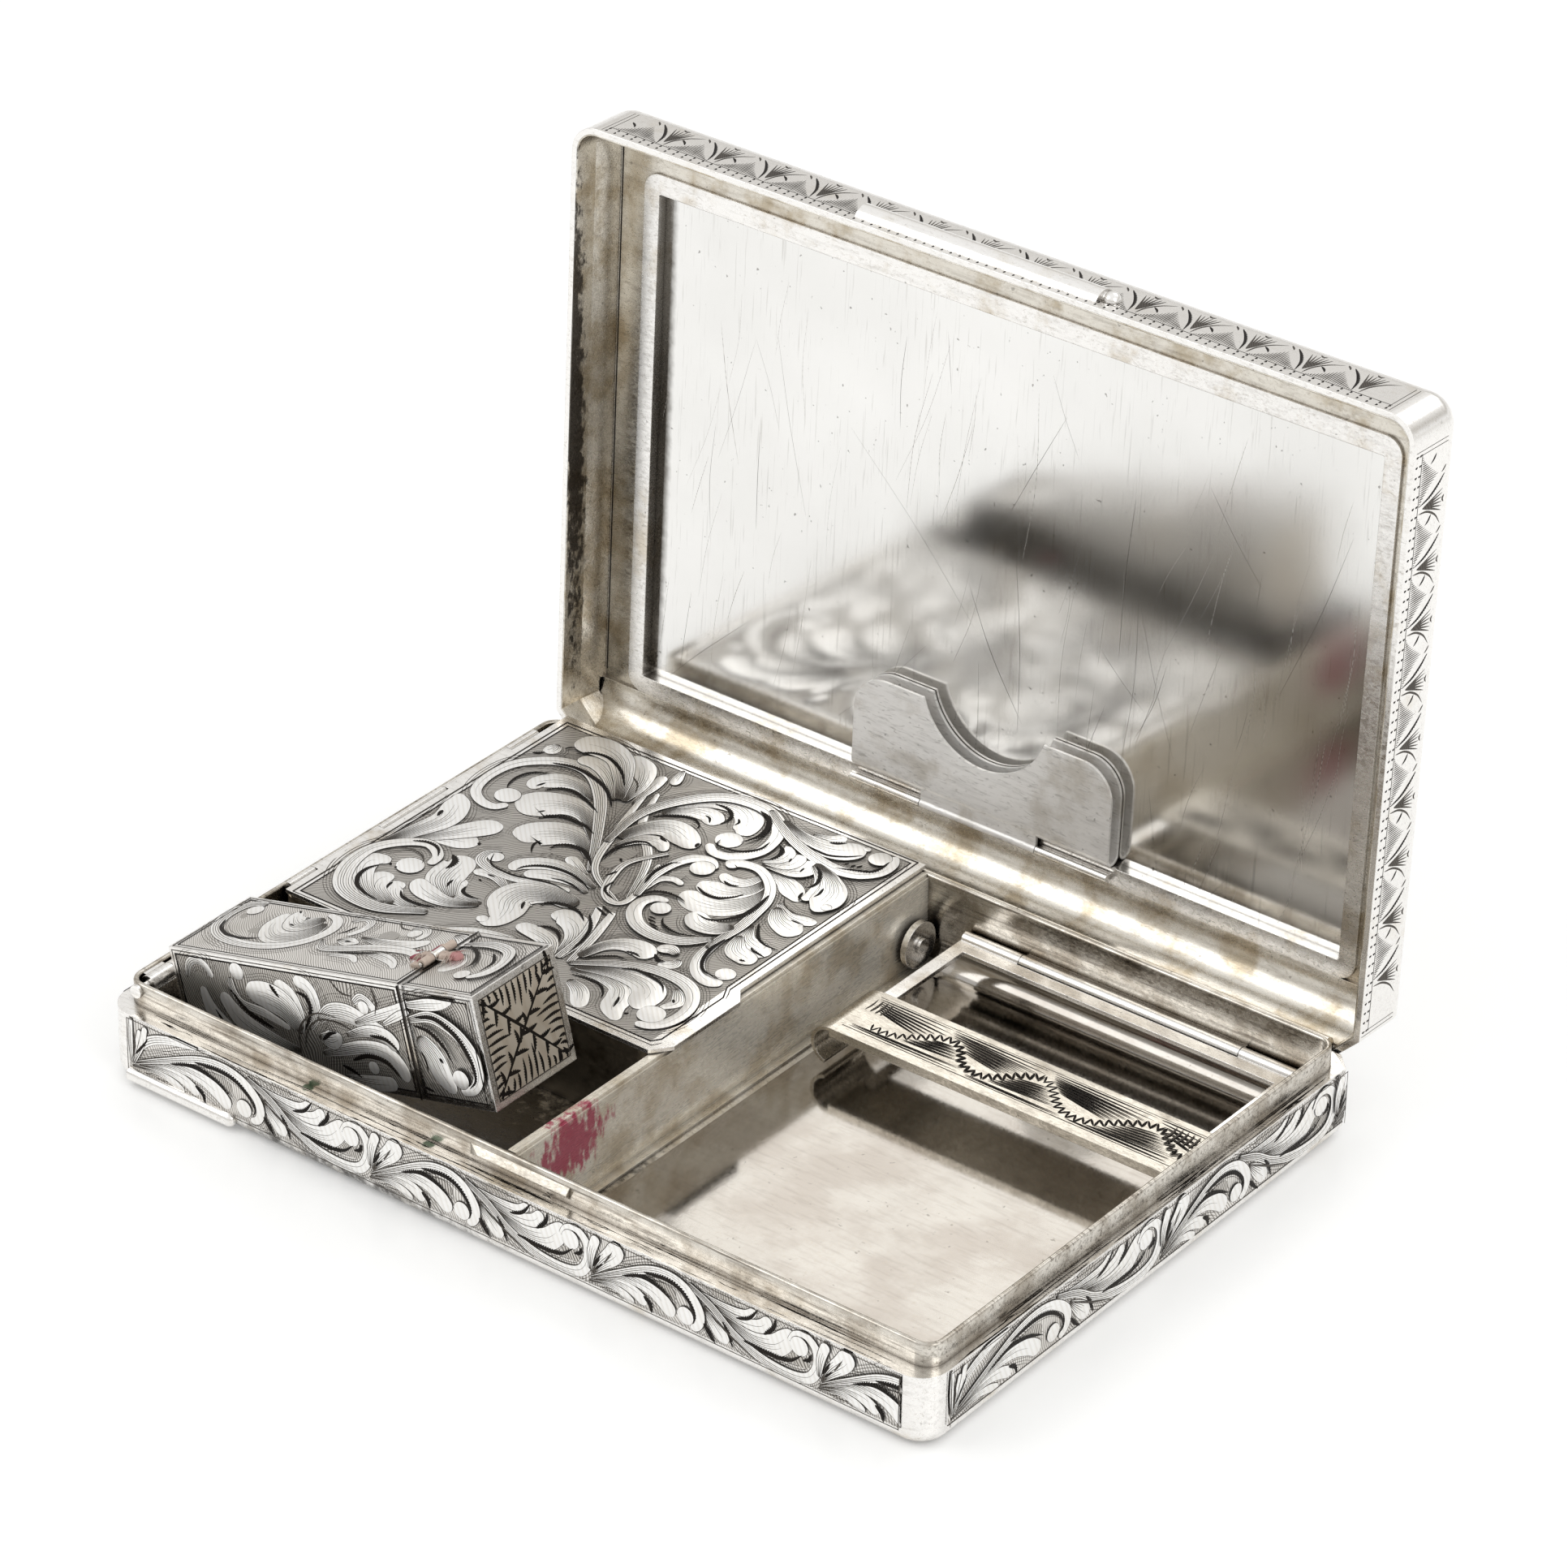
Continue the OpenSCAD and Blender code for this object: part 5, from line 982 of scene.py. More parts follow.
# The ground is a sheet between the border's two long sides, near and far.
shares = np.linspace(0, 1, 12)[None, :, None]
near = np.linspace(plate["border"][6], plate["border"][5], 12)[:, None]
far = np.linspace(plate["border"][0], plate["border"][1], 12)[:, None]
sheet = near * (1 - shares) + far * shares
layGrid(panel, sheet, np.zeros_like(sheet), shadeKind)
panel["layers"][:] = 1
echoLeaves(panel, plateScroll, grow=plate["fatter"])
carve(panel, plateScroll, grow=plate["fatter"])
ruledLine(panel, plate["border"], plate["borderHalf"], oxideKind)
ruledLine(panel, outward(plate["border"], plate["margin"]), plate["marginHalf"], lineKind)
count = finishPanel(panel, "engraving_powder_lid", "powder_lid")
print("powder lid engraved,", count, "faces")

# The lipstick case: the same scrolls run over case and cap, and the cap's end is barbed

caseFront = {
    "patches": [(-22, 5.6, 0.7, -20.2, 5.8, 0.7), (-56, 8, 1.2, -56, 11, 1), (-33, 13, 0.7, -30, 13.2, 0.6)],
    "leaves": [
        (-57.8, 13, 0.2, -57, 15, 0.4, -55.5, 15.7, 0.4, -54, 15, 0.4, -53.2, 13.5, 0.3),
        (-40, 4, 0.3, -46, 3.4, 0.9, -51, 5, 1.2, -54.5, 8.5, 0.9, -55.5, 12, 0.4),
        (-40, 5, 0.3, -45, 6, 0.9, -49.5, 8, 1.1, -52.2, 11.5, 0.7),
        (-50, 14, 0.3, -49.8, 12, 0.4, -48.5, 10.5, 0.4, -45, 9.6, 0.5, -41, 8, 0.3),
        (-39.3, 7.5, 0.4, -38.9, 10, 0.7, -39.8, 12.8, 0.9, -42, 14.4, 0.7),
        (-39, 8, 0.8, -41, 11, 1.5, -44, 12.2, 1.5, -47.5, 12.5, 0.9),
        (-37.5, 8.5, 0.4, -35.8, 10.5, 0.5, -35.5, 13, 0.6, -36.5, 14.7, 0.7, -38.5, 15.2, 0.6),
        (-35.5, 10, 0.4, -33, 11.5, 0.8, -30, 11.6, 1, -27, 10.7, 0.8, -24, 10, 0.4),
        (-28.7, 13.3, 0.3, -27, 14.3, 0.4, -25.3, 13, 0.4, -25.6, 11.7, 0.3),
        (-29, 10.5, 0.2, -25, 12, 0.5, -21, 13.5, 0.5, -18.6, 15, 0.2),
        (-24, 11, 0.2, -21, 12.6, 0.4, -18.8, 13.6, 0.2), (-33, 2.3, 0.3, -28, 2.2, 0.8, -24, 2.6, 0.7),
        (-36, 5.2, 0.3, -32, 6.3, 0.6, -28, 7.2, 0.7, -24.5, 6.9, 0.8, -22.5, 5, 0.8, -22, 3.2, 0.5),
        (-31, 8.5, 0.3, -27, 9.6, 0.6, -24, 9.2, 0.8, -22.4, 7.6, 0.7), (-36, 7.6, 0.3, -34, 7.4, 1, -32, 8.2, 0.4),
        (-18.5, 10, 0.9, -16.5, 7.5, 1.3, -15.5, 5, 1.2, -14, 2.8, 0.5),
        (-19, 14.5, 0.3, -15.5, 15, 0.6, -13, 15.4, 0.5, -11, 16, 0.2),
        (-19, 12.5, 0.3, -15, 13.3, 0.6, -11.3, 11.6, 0.7, -9.2, 8.8, 0.7, -9, 6, 0.6, -10.3, 4, 0.5, -12.5, 3.4,
         0.4),
    ],
    "bulbs": [(-48.5, 15, 1.2), (-27, 12.9, 0.9), (-27.5, 4.4, 0.9), (-12.2, 5.1, 1.3)],
    "cuts": [
        (0.3, -43, 14, -42.3, 13, -41.7, 12.2), (0.34, -38.5, 13.5, -37, 13, -36.5, 11.5, -37.2, 9.8, -38.5, 8),
        (0.12, -32, 16, -30.5, 14.5, -28.5, 14.2), (0.12, -25, 16, -24.6, 14, -25.2, 12),
        (0.3, -35.5, 7.2, -34, 8.3, -32.7, 8.6), (0.12, -39, 5.5, -38, 8, -35.5, 10, -32, 10, -29, 8.8),
        (0.12, -40, 4.6, -39.2, 8.4, -36, 10.8, -32, 10.8), (0.36, -31, 5, -28, 6, -25, 5.5, -23, 3.5),
        (0.28, -33, 4, -31, 3.3, -30, 2.6), (0.3, -27, 9, -24.5, 8.9, -23, 8, -22.3, 7),
        (0.4, -48, 4, -52, 6, -54, 9), (0.36, -44, 7.6, -48, 9.4, -50.6, 12.5),
        (0.4, -18, 13, -14.5, 13.2, -11.5, 11.3, -9.8, 8.3, -9.6, 5.5, -11, 4),
        (0.34, -18.5, 11.8, -16, 11.3, -14, 9.5, -12.8, 7), (0.2, -15.5, 7.5, -15, 6.8),
        (0.16, -18.5, 8, -18, 6.5, -18, 5), (0.2, -19.4, 3, -17.5, 2.4),
    ],
}
caseTop = {
    "patches": [
        (-56.8, -28.6, 0.8, -56, -28, 0.8), (-52.5, -31.5, 0.7, -49, -31, 0.8), (-33, -27, 1.2, -30, -28, 1.2),
        (-22, -27, 1.3, -21, -30, 1),
    ],
    "leaves": [
        (-43, -27, 0.6, -44, -31, 1.5, -47.5, -32, 1.4, -50.2, -29.5, 1, -50.6, -26, 0.5),
        (-44, -26, 0.7, -46.5, -28.2, 1.5, -48.6, -26.8, 0.9, -49.2, -25, 0.4),
        (-55.5, -24.6, 0.4, -57.5, -24.9, 0.5, -58.7, -26.7, 0.6, -58.8, -29.5, 0.6, -57.5, -32.3, 0.6, -54.5, -34.4,
         0.6, -50, -35.2, 0.6, -45.3, -34.5, 0.6, -42, -32, 0.6, -40.8, -28.5, 0.6, -42, -25.8, 0.5, -44.5, -24.6,
         0.3), (-39.8, -25.5, 0.3, -38.5, -24.3, 0.4, -36.8, -25, 0.4, -36.5, -27, 0.4, -37.5, -29, 0.3),
        (-29.8, -25, 0.3, -28, -24.4, 0.4, -26.7, -25.8, 0.4, -27, -27.4, 0.3),
        (-37.8, -30.5, 0.2, -36, -30.5, 0.8, -34.2, -30.5, 0.2),
        (-35, -29, 0.2, -31, -29.4, 0.7, -27, -29, 0.9, -24.5, -27.4, 0.5),
        (-40, -31, 0.2, -38, -33, 0.5, -34, -32, 0.6, -31, -31, 0.6, -27, -30.5, 0.6, -24, -31, 0.5, -22, -33, 0.3),
        (-31, -32.6, 0.2, -28, -32.8, 0.6, -25.5, -33.8, 0.5, -24, -35.2, 0.2),
        (-36, -34.4, 0.2, -32.5, -34, 0.4, -30.5, -35.2, 0.2),
        (-22.5, -24.8, 0.3, -20.5, -25.5, 0.7, -19, -27.5, 0.4),
        (-17.5, -29, 0.3, -16.5, -31.5, 0.9, -17.5, -34, 0.6),
        (-19, -27, 0.3, -15, -26, 0.6, -11.5, -27, 0.6, -10, -30, 0.5, -10.3, -33, 0.5, -12, -34.8, 0.3),
    ],
    "bulbs": [(-56, -26.5, 1.2), (-28.5, -26, 1), (-13.2, -34.2, 1.1)],
    "cuts": [
        (0.3, -58, -30, -57, -32, -54.5, -33.5, -51.5, -33.8, -49, -33), (0.16, -49.5, -24.8, -48.8, -25.5),
        (0.16, -48, -28.5, -47, -28.8), (0.12, -33, -23.5, -31.5, -25, -29.5, -25.3),
        (0.2, -36.6, -30.5, -35.4, -30.5), (0.22, -35, -33.5, -32.5, -33, -29, -32),
        (0.22, -38, -26.5, -38.4, -28, -39.2, -29), (0.3, -18, -27, -15.5, -28.5, -14, -31, -14.2, -33),
        (0.26, -13.6, -27.6, -11.8, -29.8, -11.8, -32.4),
    ],
}
case = {
    "seam": -20.0,
    "seamGap": 0.05,
    "seamHalf": 0.28,
    "rim": 0.9,  # plain bright margin outside the frame line
    "outerRim": 0.4,
    "frameHalf": 0.1,
    "outerHalf": 0.07,
    "fatter": 1.35,
}
caseFaces = [
    ("front", caseFront, shadeKind, (0, -38.8, 0), (0, 0, 1), (-60.0, 1.1), (-7.6, 17.0)),
    ("top", caseTop, groundKind, (0, 0, 17.0), (0, 1, 0), (-60.0, -38.8), (-7.6, -23.2)),
]
casePose = fromShut("lipstick_lift_hinge")
for face, design, ground, origin, up, low, high in caseFaces:
    for body, x0, x1, edge in (
        ("lipstick_case", low[0], case["seam"] - case["seamGap"], case["seam"] - case["seamGap"]),
        ("lipstick_cap", case["seam"] + case["seamGap"], high[0], case["seam"] + case["seamGap"]),
    ):
        panel = newPanel(origin, (1, 0, 0), up, (x0, low[1]), (x1, high[1]), casePose)
        groundSheet(panel, case["rim"], ground)
        echoLeaves(panel, design, grow=case["fatter"])
        carve(panel, design, grow=case["fatter"])
        frameLine(panel, case["rim"], case["frameHalf"], oxideKind)
        frameLine(panel, case["outerRim"], case["outerHalf"], lineKind)
        ends = [(edge, low[1] + case["outerRim"]), (edge, high[1] - case["outerRim"])]
        ruledLine(panel, ends, case["seamHalf"], oxideKind)
        finishPanel(panel, "engraving_%s_%s" % (face, body), body)

capEnd = {
    "place": (-7.6, 0, 0),
    "low": (-38.8, 1.1),
    "high": (-23.2, 17.0),
    "inset": 1.0,
    "frameHalf": 0.08,
    "veinHalf": 0.2,
    "veinBow": 0.1,
    "barbHalf": 0.3,
    "barbPitch": 2.7,
    "barbStagger": 0.25,
    "barbAlong": (1.2, 1.6),
    "barbOut": (1.4, 2.0),
    "barbBow": 0.3,
    "combHalf": 0.23,
    "combPitch": 1.15,
    "combReach": 1.7,
    "combCrown": 3.2,  # what the middle of each side adds
    "crownSlope": 1.7,
    "combUneven": (0.75, 1.1),
    "combWander": (-0.2, 0.2),
    "combSpread": 0.5,
    "combBow": 0.15,
}
panel = newPanel(capEnd["place"], (0, 1, 0), (0, 0, 1), capEnd["low"], capEnd["high"], casePose)
groundSheet(panel, case["rim"], filmedKind)
(y0, z0), (y1, z1) = panel["low"] + capEnd["inset"], panel["high"] - capEnd["inset"]
for start, stop in (((y0, z1), (y1, z0)), ((y0, z0), (y1, z1))):
    start, stop = np.array(start), np.array(stop)
    length = np.linalg.norm(stop - start)
    way = (stop - start) / length
    side = np.array((-way[1], way[0]))
    cutGroove(panel, (capEnd["veinHalf"], *start, *((start + stop) / 2 + capEnd["veinBow"] * side), *stop))
    for step in range(int(length / capEnd["barbPitch"])):
        for hand in (-1, 1):
            root = start + way * capEnd["barbPitch"] * (step + 0.5 + capEnd["barbStagger"] * hand)
            tip = root + way * random.uniform(*capEnd["barbAlong"]) + side * hand * random.uniform(*capEnd["barbOut"])
            middle = (root + tip) / 2 - side * hand * capEnd["barbBow"]
            cutGroove(panel, (capEnd["barbHalf"], *root, *middle, *tip))
middle = (panel["low"] + panel["high"]) / 2
half = (z1 - z0) / 2
count = int(2 * half / capEnd["combPitch"])
for axis in (0, 1):
    for end in (-1, 1):
        for step in range(count):
            share = (step + 0.5) / count * 2 - 1
            root = middle + half * np.array((end, share) if axis == 0 else (share, end))
            tip = root.copy()
            reach = capEnd["combReach"] + capEnd["combCrown"] * max(0, 1 - capEnd["crownSlope"] * abs(share))
            tip[axis] -= end * reach * random.uniform(*capEnd["combUneven"])
            tip[1 - axis] += random.uniform(*capEnd["combWander"]) - capEnd["combSpread"] * share
            cutGroove(panel, (capEnd["combHalf"], *root, *((root + tip) / 2 + capEnd["combBow"]), *tip))
frameLine(panel, capEnd["inset"], capEnd["frameHalf"], lineKind)
finishPanel(panel, "engraving_cap_end", "lipstick_cap")
print("lipstick case engraved")

# Thread wound over the seam and soaked in wax: one lump on the case, one on the cap

thread = {
    "top": 17.0,
    "middle": -31.0,
    "slant": 0.25,  # sideways drift along the case
    "halves": {
        "lipstick_case": [(-23.9, 0.2), (-23.2, 0.45), (-22.2, 0.6), (-21.4, 0.8), (-20.3, 0.7)],
        "lipstick_cap": [(-19.7, 0.7), (-18.9, 0.85), (-17.9, 0.7), (-17.0, 0.75), (-16.5, 0.3)],
    },
    "rings": 18,
    "around": 14,
    "swell": (0.9, 1.1),
    "ridges": 3,
    "ridgeHeight": 0.1,
    "twist": 5.0,
    "grit": 0.05,
    "raised": 0.45,
    "flatter": 0.7,
    "strands": 7,
    "strandRings": 6,
    "strandSides": 4,
    "strandLength": (0.95, 1.9),
    "strandMargin": 0.4,
    "strandRoot": 0.5,
    "strandBow": 1.0,
    "strandThick": 0.1,
    "strandTaper": 0.8,
    "strandHeight": 0.75,
    "droop": 1.4,
}


def skinRings(bm, rings):
    for one, two in zip(rings[:-1], rings[1:]):
        for index in range(len(one)):
            bm.faces.new((one[index], one[index - 1], two[index - 1], two[index]))


def threadLump(name, stations, material, body):
    # A lumpy tube laid along the case, with frayed strands from its sides.
    bm = bmesh.new()
    stations = np.array(stations)
    xs = np.linspace(stations[0, 0], stations[-1, 0], thread["rings"])
    rings = []
    for x in xs:
        radius = np.interp(x, stations[:, 0], stations[:, 1]) * random.uniform(*thread["swell"])
        y = thread["middle"] + thread["slant"] * (x - case["seam"])
        ring = []
        for index in range(thread["around"]):
            angle = 2 * math.pi * index / thread["around"]
            ridge = thread["ridgeHeight"] * math.sin(thread["ridges"] * angle + thread["twist"] * x)
            lump = radius * (1 + ridge + random.uniform(-thread["grit"], thread["grit"]))
            z = thread["top"] + thread["raised"] * radius + thread["flatter"] * lump * math.sin(angle)
            ring.append(bm.verts.new(casePose @ (Vector((x, y + lump * math.cos(angle), z)) * mm)))
        rings.append(ring)
    skinRings(bm, rings)
    bm.faces.new(rings[0])
    bm.faces.new(rings[-1][::-1])
    for strand in range(thread["strands"]):
        x = random.uniform(xs[0] + thread["strandMargin"], xs[-1] - thread["strandMargin"])
        hand = 1 if strand % 2 else -1
        reach = random.uniform(*thread["strandLength"])
        bow = random.uniform(-thread["strandBow"], thread["strandBow"])
        y = thread["middle"] + thread["slant"] * (x - case["seam"])
        rings = []
        for index in range(thread["strandRings"]):
            t = index / (thread["strandRings"] - 1)
            height = thread["top"] + thread["strandHeight"] * math.cos(thread["droop"] * t)
            centre = Vector((x + bow * t, y + hand * (thread["strandRoot"] + reach * t), height))
            thick = thread["strandThick"] * (1 - thread["strandTaper"] * t)
            angles = [2 * math.pi * (corner + 0.5) / thread["strandSides"] for corner in range(thread["strandSides"])]
            spots = [centre + thick * Vector((math.cos(angle), 0, math.sin(angle))) for angle in angles]
            rings.append([bm.verts.new(casePose @ (spot * mm)) for spot in spots])
        skinRings(bm, rings)
    bmesh.ops.recalc_face_normals(bm, faces=bm.faces)
    mesh = bpy.data.meshes.new(name)
    bm.to_mesh(mesh)
    bm.free()
    mesh.polygons.foreach_set("use_smooth", np.ones(len(mesh.polygons), bool))
    mesh.materials.append(material)
    item = addItem(name, mesh)
    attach(item, body)


waxed = wax("cotton_thread_waxed", threadLook)
for body, stations in thread["halves"].items():
    threadLump("thread_on_" + body, stations, waxed, body)
print("thread laid")

# The strap: a wriggled wave between fans of tapered cuts

strap = {
    "top": 7.9,
    "low": (7.1, 11.2),
    "high": (60.4, 22.3),
    "edges": [(12.9, 0.08, oxideKind), (21.2, 0.06, lineKind)],
    "edgeEnds": (8, 60),
    "wave": (11, 14.8, 14, 14.8, 16.5, 16, 19, 18, 21.5, 18.7, 23.5, 17.5, 25, 15.5, 27, 14.5, 29, 14.5)
    + (31, 15.8, 33, 17.8, 35.5, 19, 37.5, 18, 39.5, 16, 41.5, 14.6, 44, 14.2, 46.5, 15, 49, 17)
    + (51.5, 18.7, 54, 19, 56, 17.3, 58, 15.7, 60, 15.2),
    "toothHalf": 0.15,
    "toothPitch": 0.6,
    "toothReach": 0.75,
    "fans": [
        (8.5, 26, 13.4, 18.4, 8), (27, 42, 13.4, 18.6, 8), (43, 58.5, 13.4, 18.6, 8),
        (8.2, 20, 20.8, 15.8, 7), (20, 35, 20.8, 15.4, 8), (36, 52, 20.8, 15.2, 8), (52.5, 60, 20.8, 16.5, 5),
    ],
    "fanHalf": 0.145,
    "fanStep": 1.6,
    "fanGap": 0.675,  # where a cut stops short of the wave
    "comb": {"cuts": [(0.14, 0, 17.6, 0.15, 19, 0, 20.6)]},
    "combs": [(8, 11.2, 0.8), (55.2, 59.4, 0.9)],
}


def engraveStrap(facts):
    panel = newPanel((0, 0, facts["top"]), (1, 0, 0), (0, 1, 0), facts["low"], facts["high"])
    for y, half, kind in facts["edges"]:
        ruledLine(panel, [(x, y) for x in facts["edgeEnds"]], half, kind)
    wave = np.reshape(facts["wave"], (-1, 2))
    wave, t = smoothStroke(np.column_stack([wave, np.full(len(wave), 0.1)]), facts["toothPitch"])
    side = sideways(wave)
    for index in range(len(wave) - 1):
        here, there = wave[index, :2], wave[index + 1, :2]
        reach = side[index] * facts["toothReach"] * (1 if index % 2 else -1)
        cutGroove(panel, (facts["toothHalf"], *(here - reach), *((here + there) / 2), *(there + reach)))
    for left, right, y0, y1, fan in facts["fans"]:
        # Long cuts that spread from one end and stop short of the wave.
        for share in np.arange(fan) / (fan - 1):
            xs = np.linspace(left + facts["fanStep"] * share, right, 40)
            ys = y0 + (y1 - y0) * share * (0.5 + 0.5 * (xs - xs[0]) / (right - left))
            gap = np.interp(xs, wave[:, 0], wave[:, 1]) - ys
            clear = np.abs(gap) > facts["fanGap"]
            clear &= np.sign(gap) == (1 if y1 > y0 else -1)
            start = np.argmax(clear)
            stop = start + (np.argmin(clear[start:]) or len(clear) - start)
            xs, ys = xs[start:stop], ys[start:stop]
            if clear.sum() > 4 and len(xs) > 4:
                cutGroove(panel, (facts["fanHalf"], xs[0], ys[0], xs[len(xs) // 2], ys[len(xs) // 2], xs[-1], ys[-1]))
    for comb in facts["combs"]:
        for x in np.arange(*comb):
            carve(panel, facts["comb"], shifted(x))
    finishPanel(panel, "engraving_strap", "retainer")


engraveStrap(strap)
print("strap engraved")

# The lid's walls: rows of pecks along the rim, and hatched tents under half circles

tents = {
    "low": 10.5,
    "high": 18.3,
    "pitch": 8.35,
    "peck": {"cuts": [(0.15, 0, -0.22, 0.12, 0, 0, 0.3)]},
    "peckRows": (12.0, 11.2),
    "peckPitch": 1.4,
    "base": 12.5,
    "hatchHalf": 0.07,
    "hatch": np.arange(-3.3, 3.31, 0.3),
    "tall": 3.9,
    "spread": 3.4,
    "fanRoot": (3.9, 13.4),
    "fan": np.linspace(2.6, 5.6, 6),
    "baseLine": 12.35,
    "lineHalf": 0.05,
}


def tentCuts(facts):
    # Hatching that is tallest in its middle, the half circle's two sides, a fan and small cuts between.
    base, (x, z) = facts["base"], facts["fanRoot"]
    cuts = []
    for u in facts["hatch"]:
        tall = facts["tall"] * max(0.08, 1 - abs(u) / facts["spread"]) ** 1.2
        cuts.append((facts["hatchHalf"], u, base, u, base + tall / 2, u, base + tall))
    cuts += [(0.21, 0.5, 17.9, 1.7, 16.6, 2.8, 14.8, 3.4, 12.6), (0.14, 4.4, 12.6, 4.7, 14.6, 5.8, 16.5, 7.4, 17.8)]
    cuts += [(0.12, x, z, x + (tip - x) * 0.4, z + 2, tip, 17.8) for tip in facts["fan"]]
    cuts += [(0.17, -3, 15.6, -2.3, 15.1, -1.8, 14.4), (0.14, -0.6, 18.1, 0, 17.5, 0.2, 17.1)]
    return cuts + [(0.14, 3.6, 18.2, 4.1, 17.9, 4.6, 18.2)]


tent = {"cuts": tentCuts(tents)}
lidPose = fromShut("lid_hinge")


def engraveLidWall(name, origin, along, low, high, first):
    panel = newPanel(origin, along, (0, 0, 1), (low, tents["low"]), (high, tents["high"]), lidPose)
    for z in tents["peckRows"]:
        for u in np.arange(low + 1, high - 1, tents["peckPitch"]):
            carve(panel, tents["peck"], shifted(u, z))
    for u in np.arange(first, high - 4, tents["pitch"]):
        carve(panel, tent, shifted(u))
    for end in (low + 0.5, low + 1.1, high - 0.5, high - 1.1):
        ruledLine(panel, [(end, 11), (end, 18)], tents["lineHalf"], lineKind)
    ends = [(low + 1, tents["baseLine"]), (high - 1, tents["baseLine"])]
    ruledLine(panel, ends, tents["lineHalf"], lineKind)
    return finishPanel(panel, name, "lid")


count = engraveLidWall("engraving_lid_front", (0, -45.4, 0), (1, 0, 0), -62.0, 62.0, -57.0)
count += engraveLidWall("engraving_lid_right", (66, 0, 0), (0, 1, 0), -41.4, 42.0, -36.5)
count += engraveLidWall("engraving_lid_left", (-66, 0, 0), (0, -1, 0), -42.0, 41.4, -37.1)
print("lid walls engraved,", count, "faces")

# The lid's outside: polished sheet inside a ruled double border

cover = {"low": (-63.2, -42.6), "high": (63.2, 43.2), "border": 2.2, "gap": 0.8, "half": 0.13, "innerHalf": 0.08}
coverTop = shutBox("lid_shell", lidPose)[1][2]
panel = newPanel((0, 0, coverTop), (1, 0, 0), (0, 1, 0), cover["low"], cover["high"], lidPose)
frameLine(panel, cover["border"], cover["half"], oxideKind)
frameLine(panel, cover["border"] + cover["gap"], cover["innerHalf"], lineKind)
finishPanel(panel, "engraving_lid_top", "lid")

# The lining: a dark joint where each side wall meets the strip beside the mirror

lining = {"strip": 18.5, "joint": 63.72, "low": -42.0, "high": 38.0, "half": 0.13}
reach = lining["joint"] + 0.1
panel = newPanel(
    (0, 0, lining["strip"]), (-1, 0, 0), (0, 1, 0), (-reach, lining["low"]), (reach, lining["high"]), lidPose
)
for x in (-lining["joint"], lining["joint"]):
    ruledLine(panel, [(x, lining["low"]), (x, lining["high"])], lining["half"], oxideKind)
finishPanel(panel, "lining_joints", "lid")

# The mirror: fine scratches from years of wiping, most of them upright

scratches = {
    "count": 110,
    "low": (-56.5, -34.5),
    "high": (56.5, 36.0),
    "length": (6.0, 26.0),
    "lean": 0.16,
    "leanSpread": 0.14,
    "stray": 1.2,  # every sixth one leans as it likes
    "bow": 0.05,
    "half": (0.01, 0.03),
    "tip": 0.002,
}
mirrorFace = shutBox("mirror_glass", lidPose)[0][2]
panel = newPanel((0, 0, mirrorFace), (-1, 0, 0), (0, 1, 0), scratches["low"], scratches["high"], lidPose)
for number in range(scratches["count"]):
    x, y = (random.uniform(*ends) for ends in zip(scratches["low"], scratches["high"]))
    length = random.uniform(*scratches["length"])
    if number % 6:
        lean = random.gauss(scratches["lean"], scratches["leanSpread"])
    else:
        lean = random.uniform(-scratches["stray"], scratches["stray"])
    bow = random.uniform(-scratches["bow"], scratches["bow"]) * length
    half = random.uniform(*scratches["half"])
    bend = (x + lean * length / 2 + bow, y + length / 2, half)
    stroke, t = smoothStroke([(x, y, half), bend, (x + lean * length, y + length, half)], 1.0)
    width = stroke[:, 2] * np.sin(math.pi * t) ** 0.5 + scratches["tip"]
    layStroke(panel, stroke, width, width, shadeKind if number % 3 else lineKind)
finishPanel(panel, "mirror_scratches", "lid")
print("mirror scratched")

# The ledge the lid closes on: broken black streaks where dirt lies along the wall

ledge = {
    "count": 60,
    "half": (0.048, 0.16),
    "tip": 0.003,
    "broken": (0.4, 1.0),
    "length": (1.5, 16.0),
    "bends": 0.12,
    "shares": (0.12, 0.5, 0.9),
    "shareSpread": 0.05,
    "sides": [
        ("front", (1, 0, 0), (0, 1, 0), (-62, -45.9), (62, -43.55)),
        ("right", (0, 1, 0), (-1, 0, 0), (-41, -65.9), (40, -64.65)),
    ],
}
ledgeTop = shutBox("base_shell", shut)[1][2]
for side, along, up, low, high in ledge["sides"]:
    panel = newPanel((0, 0, ledgeTop), along, up, low, high)
    for number in range(ledge["count"]):
        length = random.uniform(*ledge["length"])
        start = random.uniform(low[0], high[0] - length)
        share = random.choice(ledge["shares"]) + random.gauss(0, ledge["shareSpread"])
        level = low[1] + share * (high[1] - low[1])
        half = random.uniform(*ledge["half"])
        middle = level + random.gauss(0, ledge["bends"])
        points = [(start, level, half), (start + length / 2, middle, half), (start + length, level, half)]
        stroke, t = smoothStroke(points, 0.6)
        broken = np.random.default_rng(number).uniform(*ledge["broken"], len(t))
        width = stroke[:, 2] * np.sin(math.pi * t) ** 0.5 * broken + ledge["tip"]
        layStroke(panel, stroke, width, width, oxideKind if number % 2 else shadeKind)
    finishPanel(panel, "ledge_streaks_" + side, "base")
print("ledge streaked")

# Studio

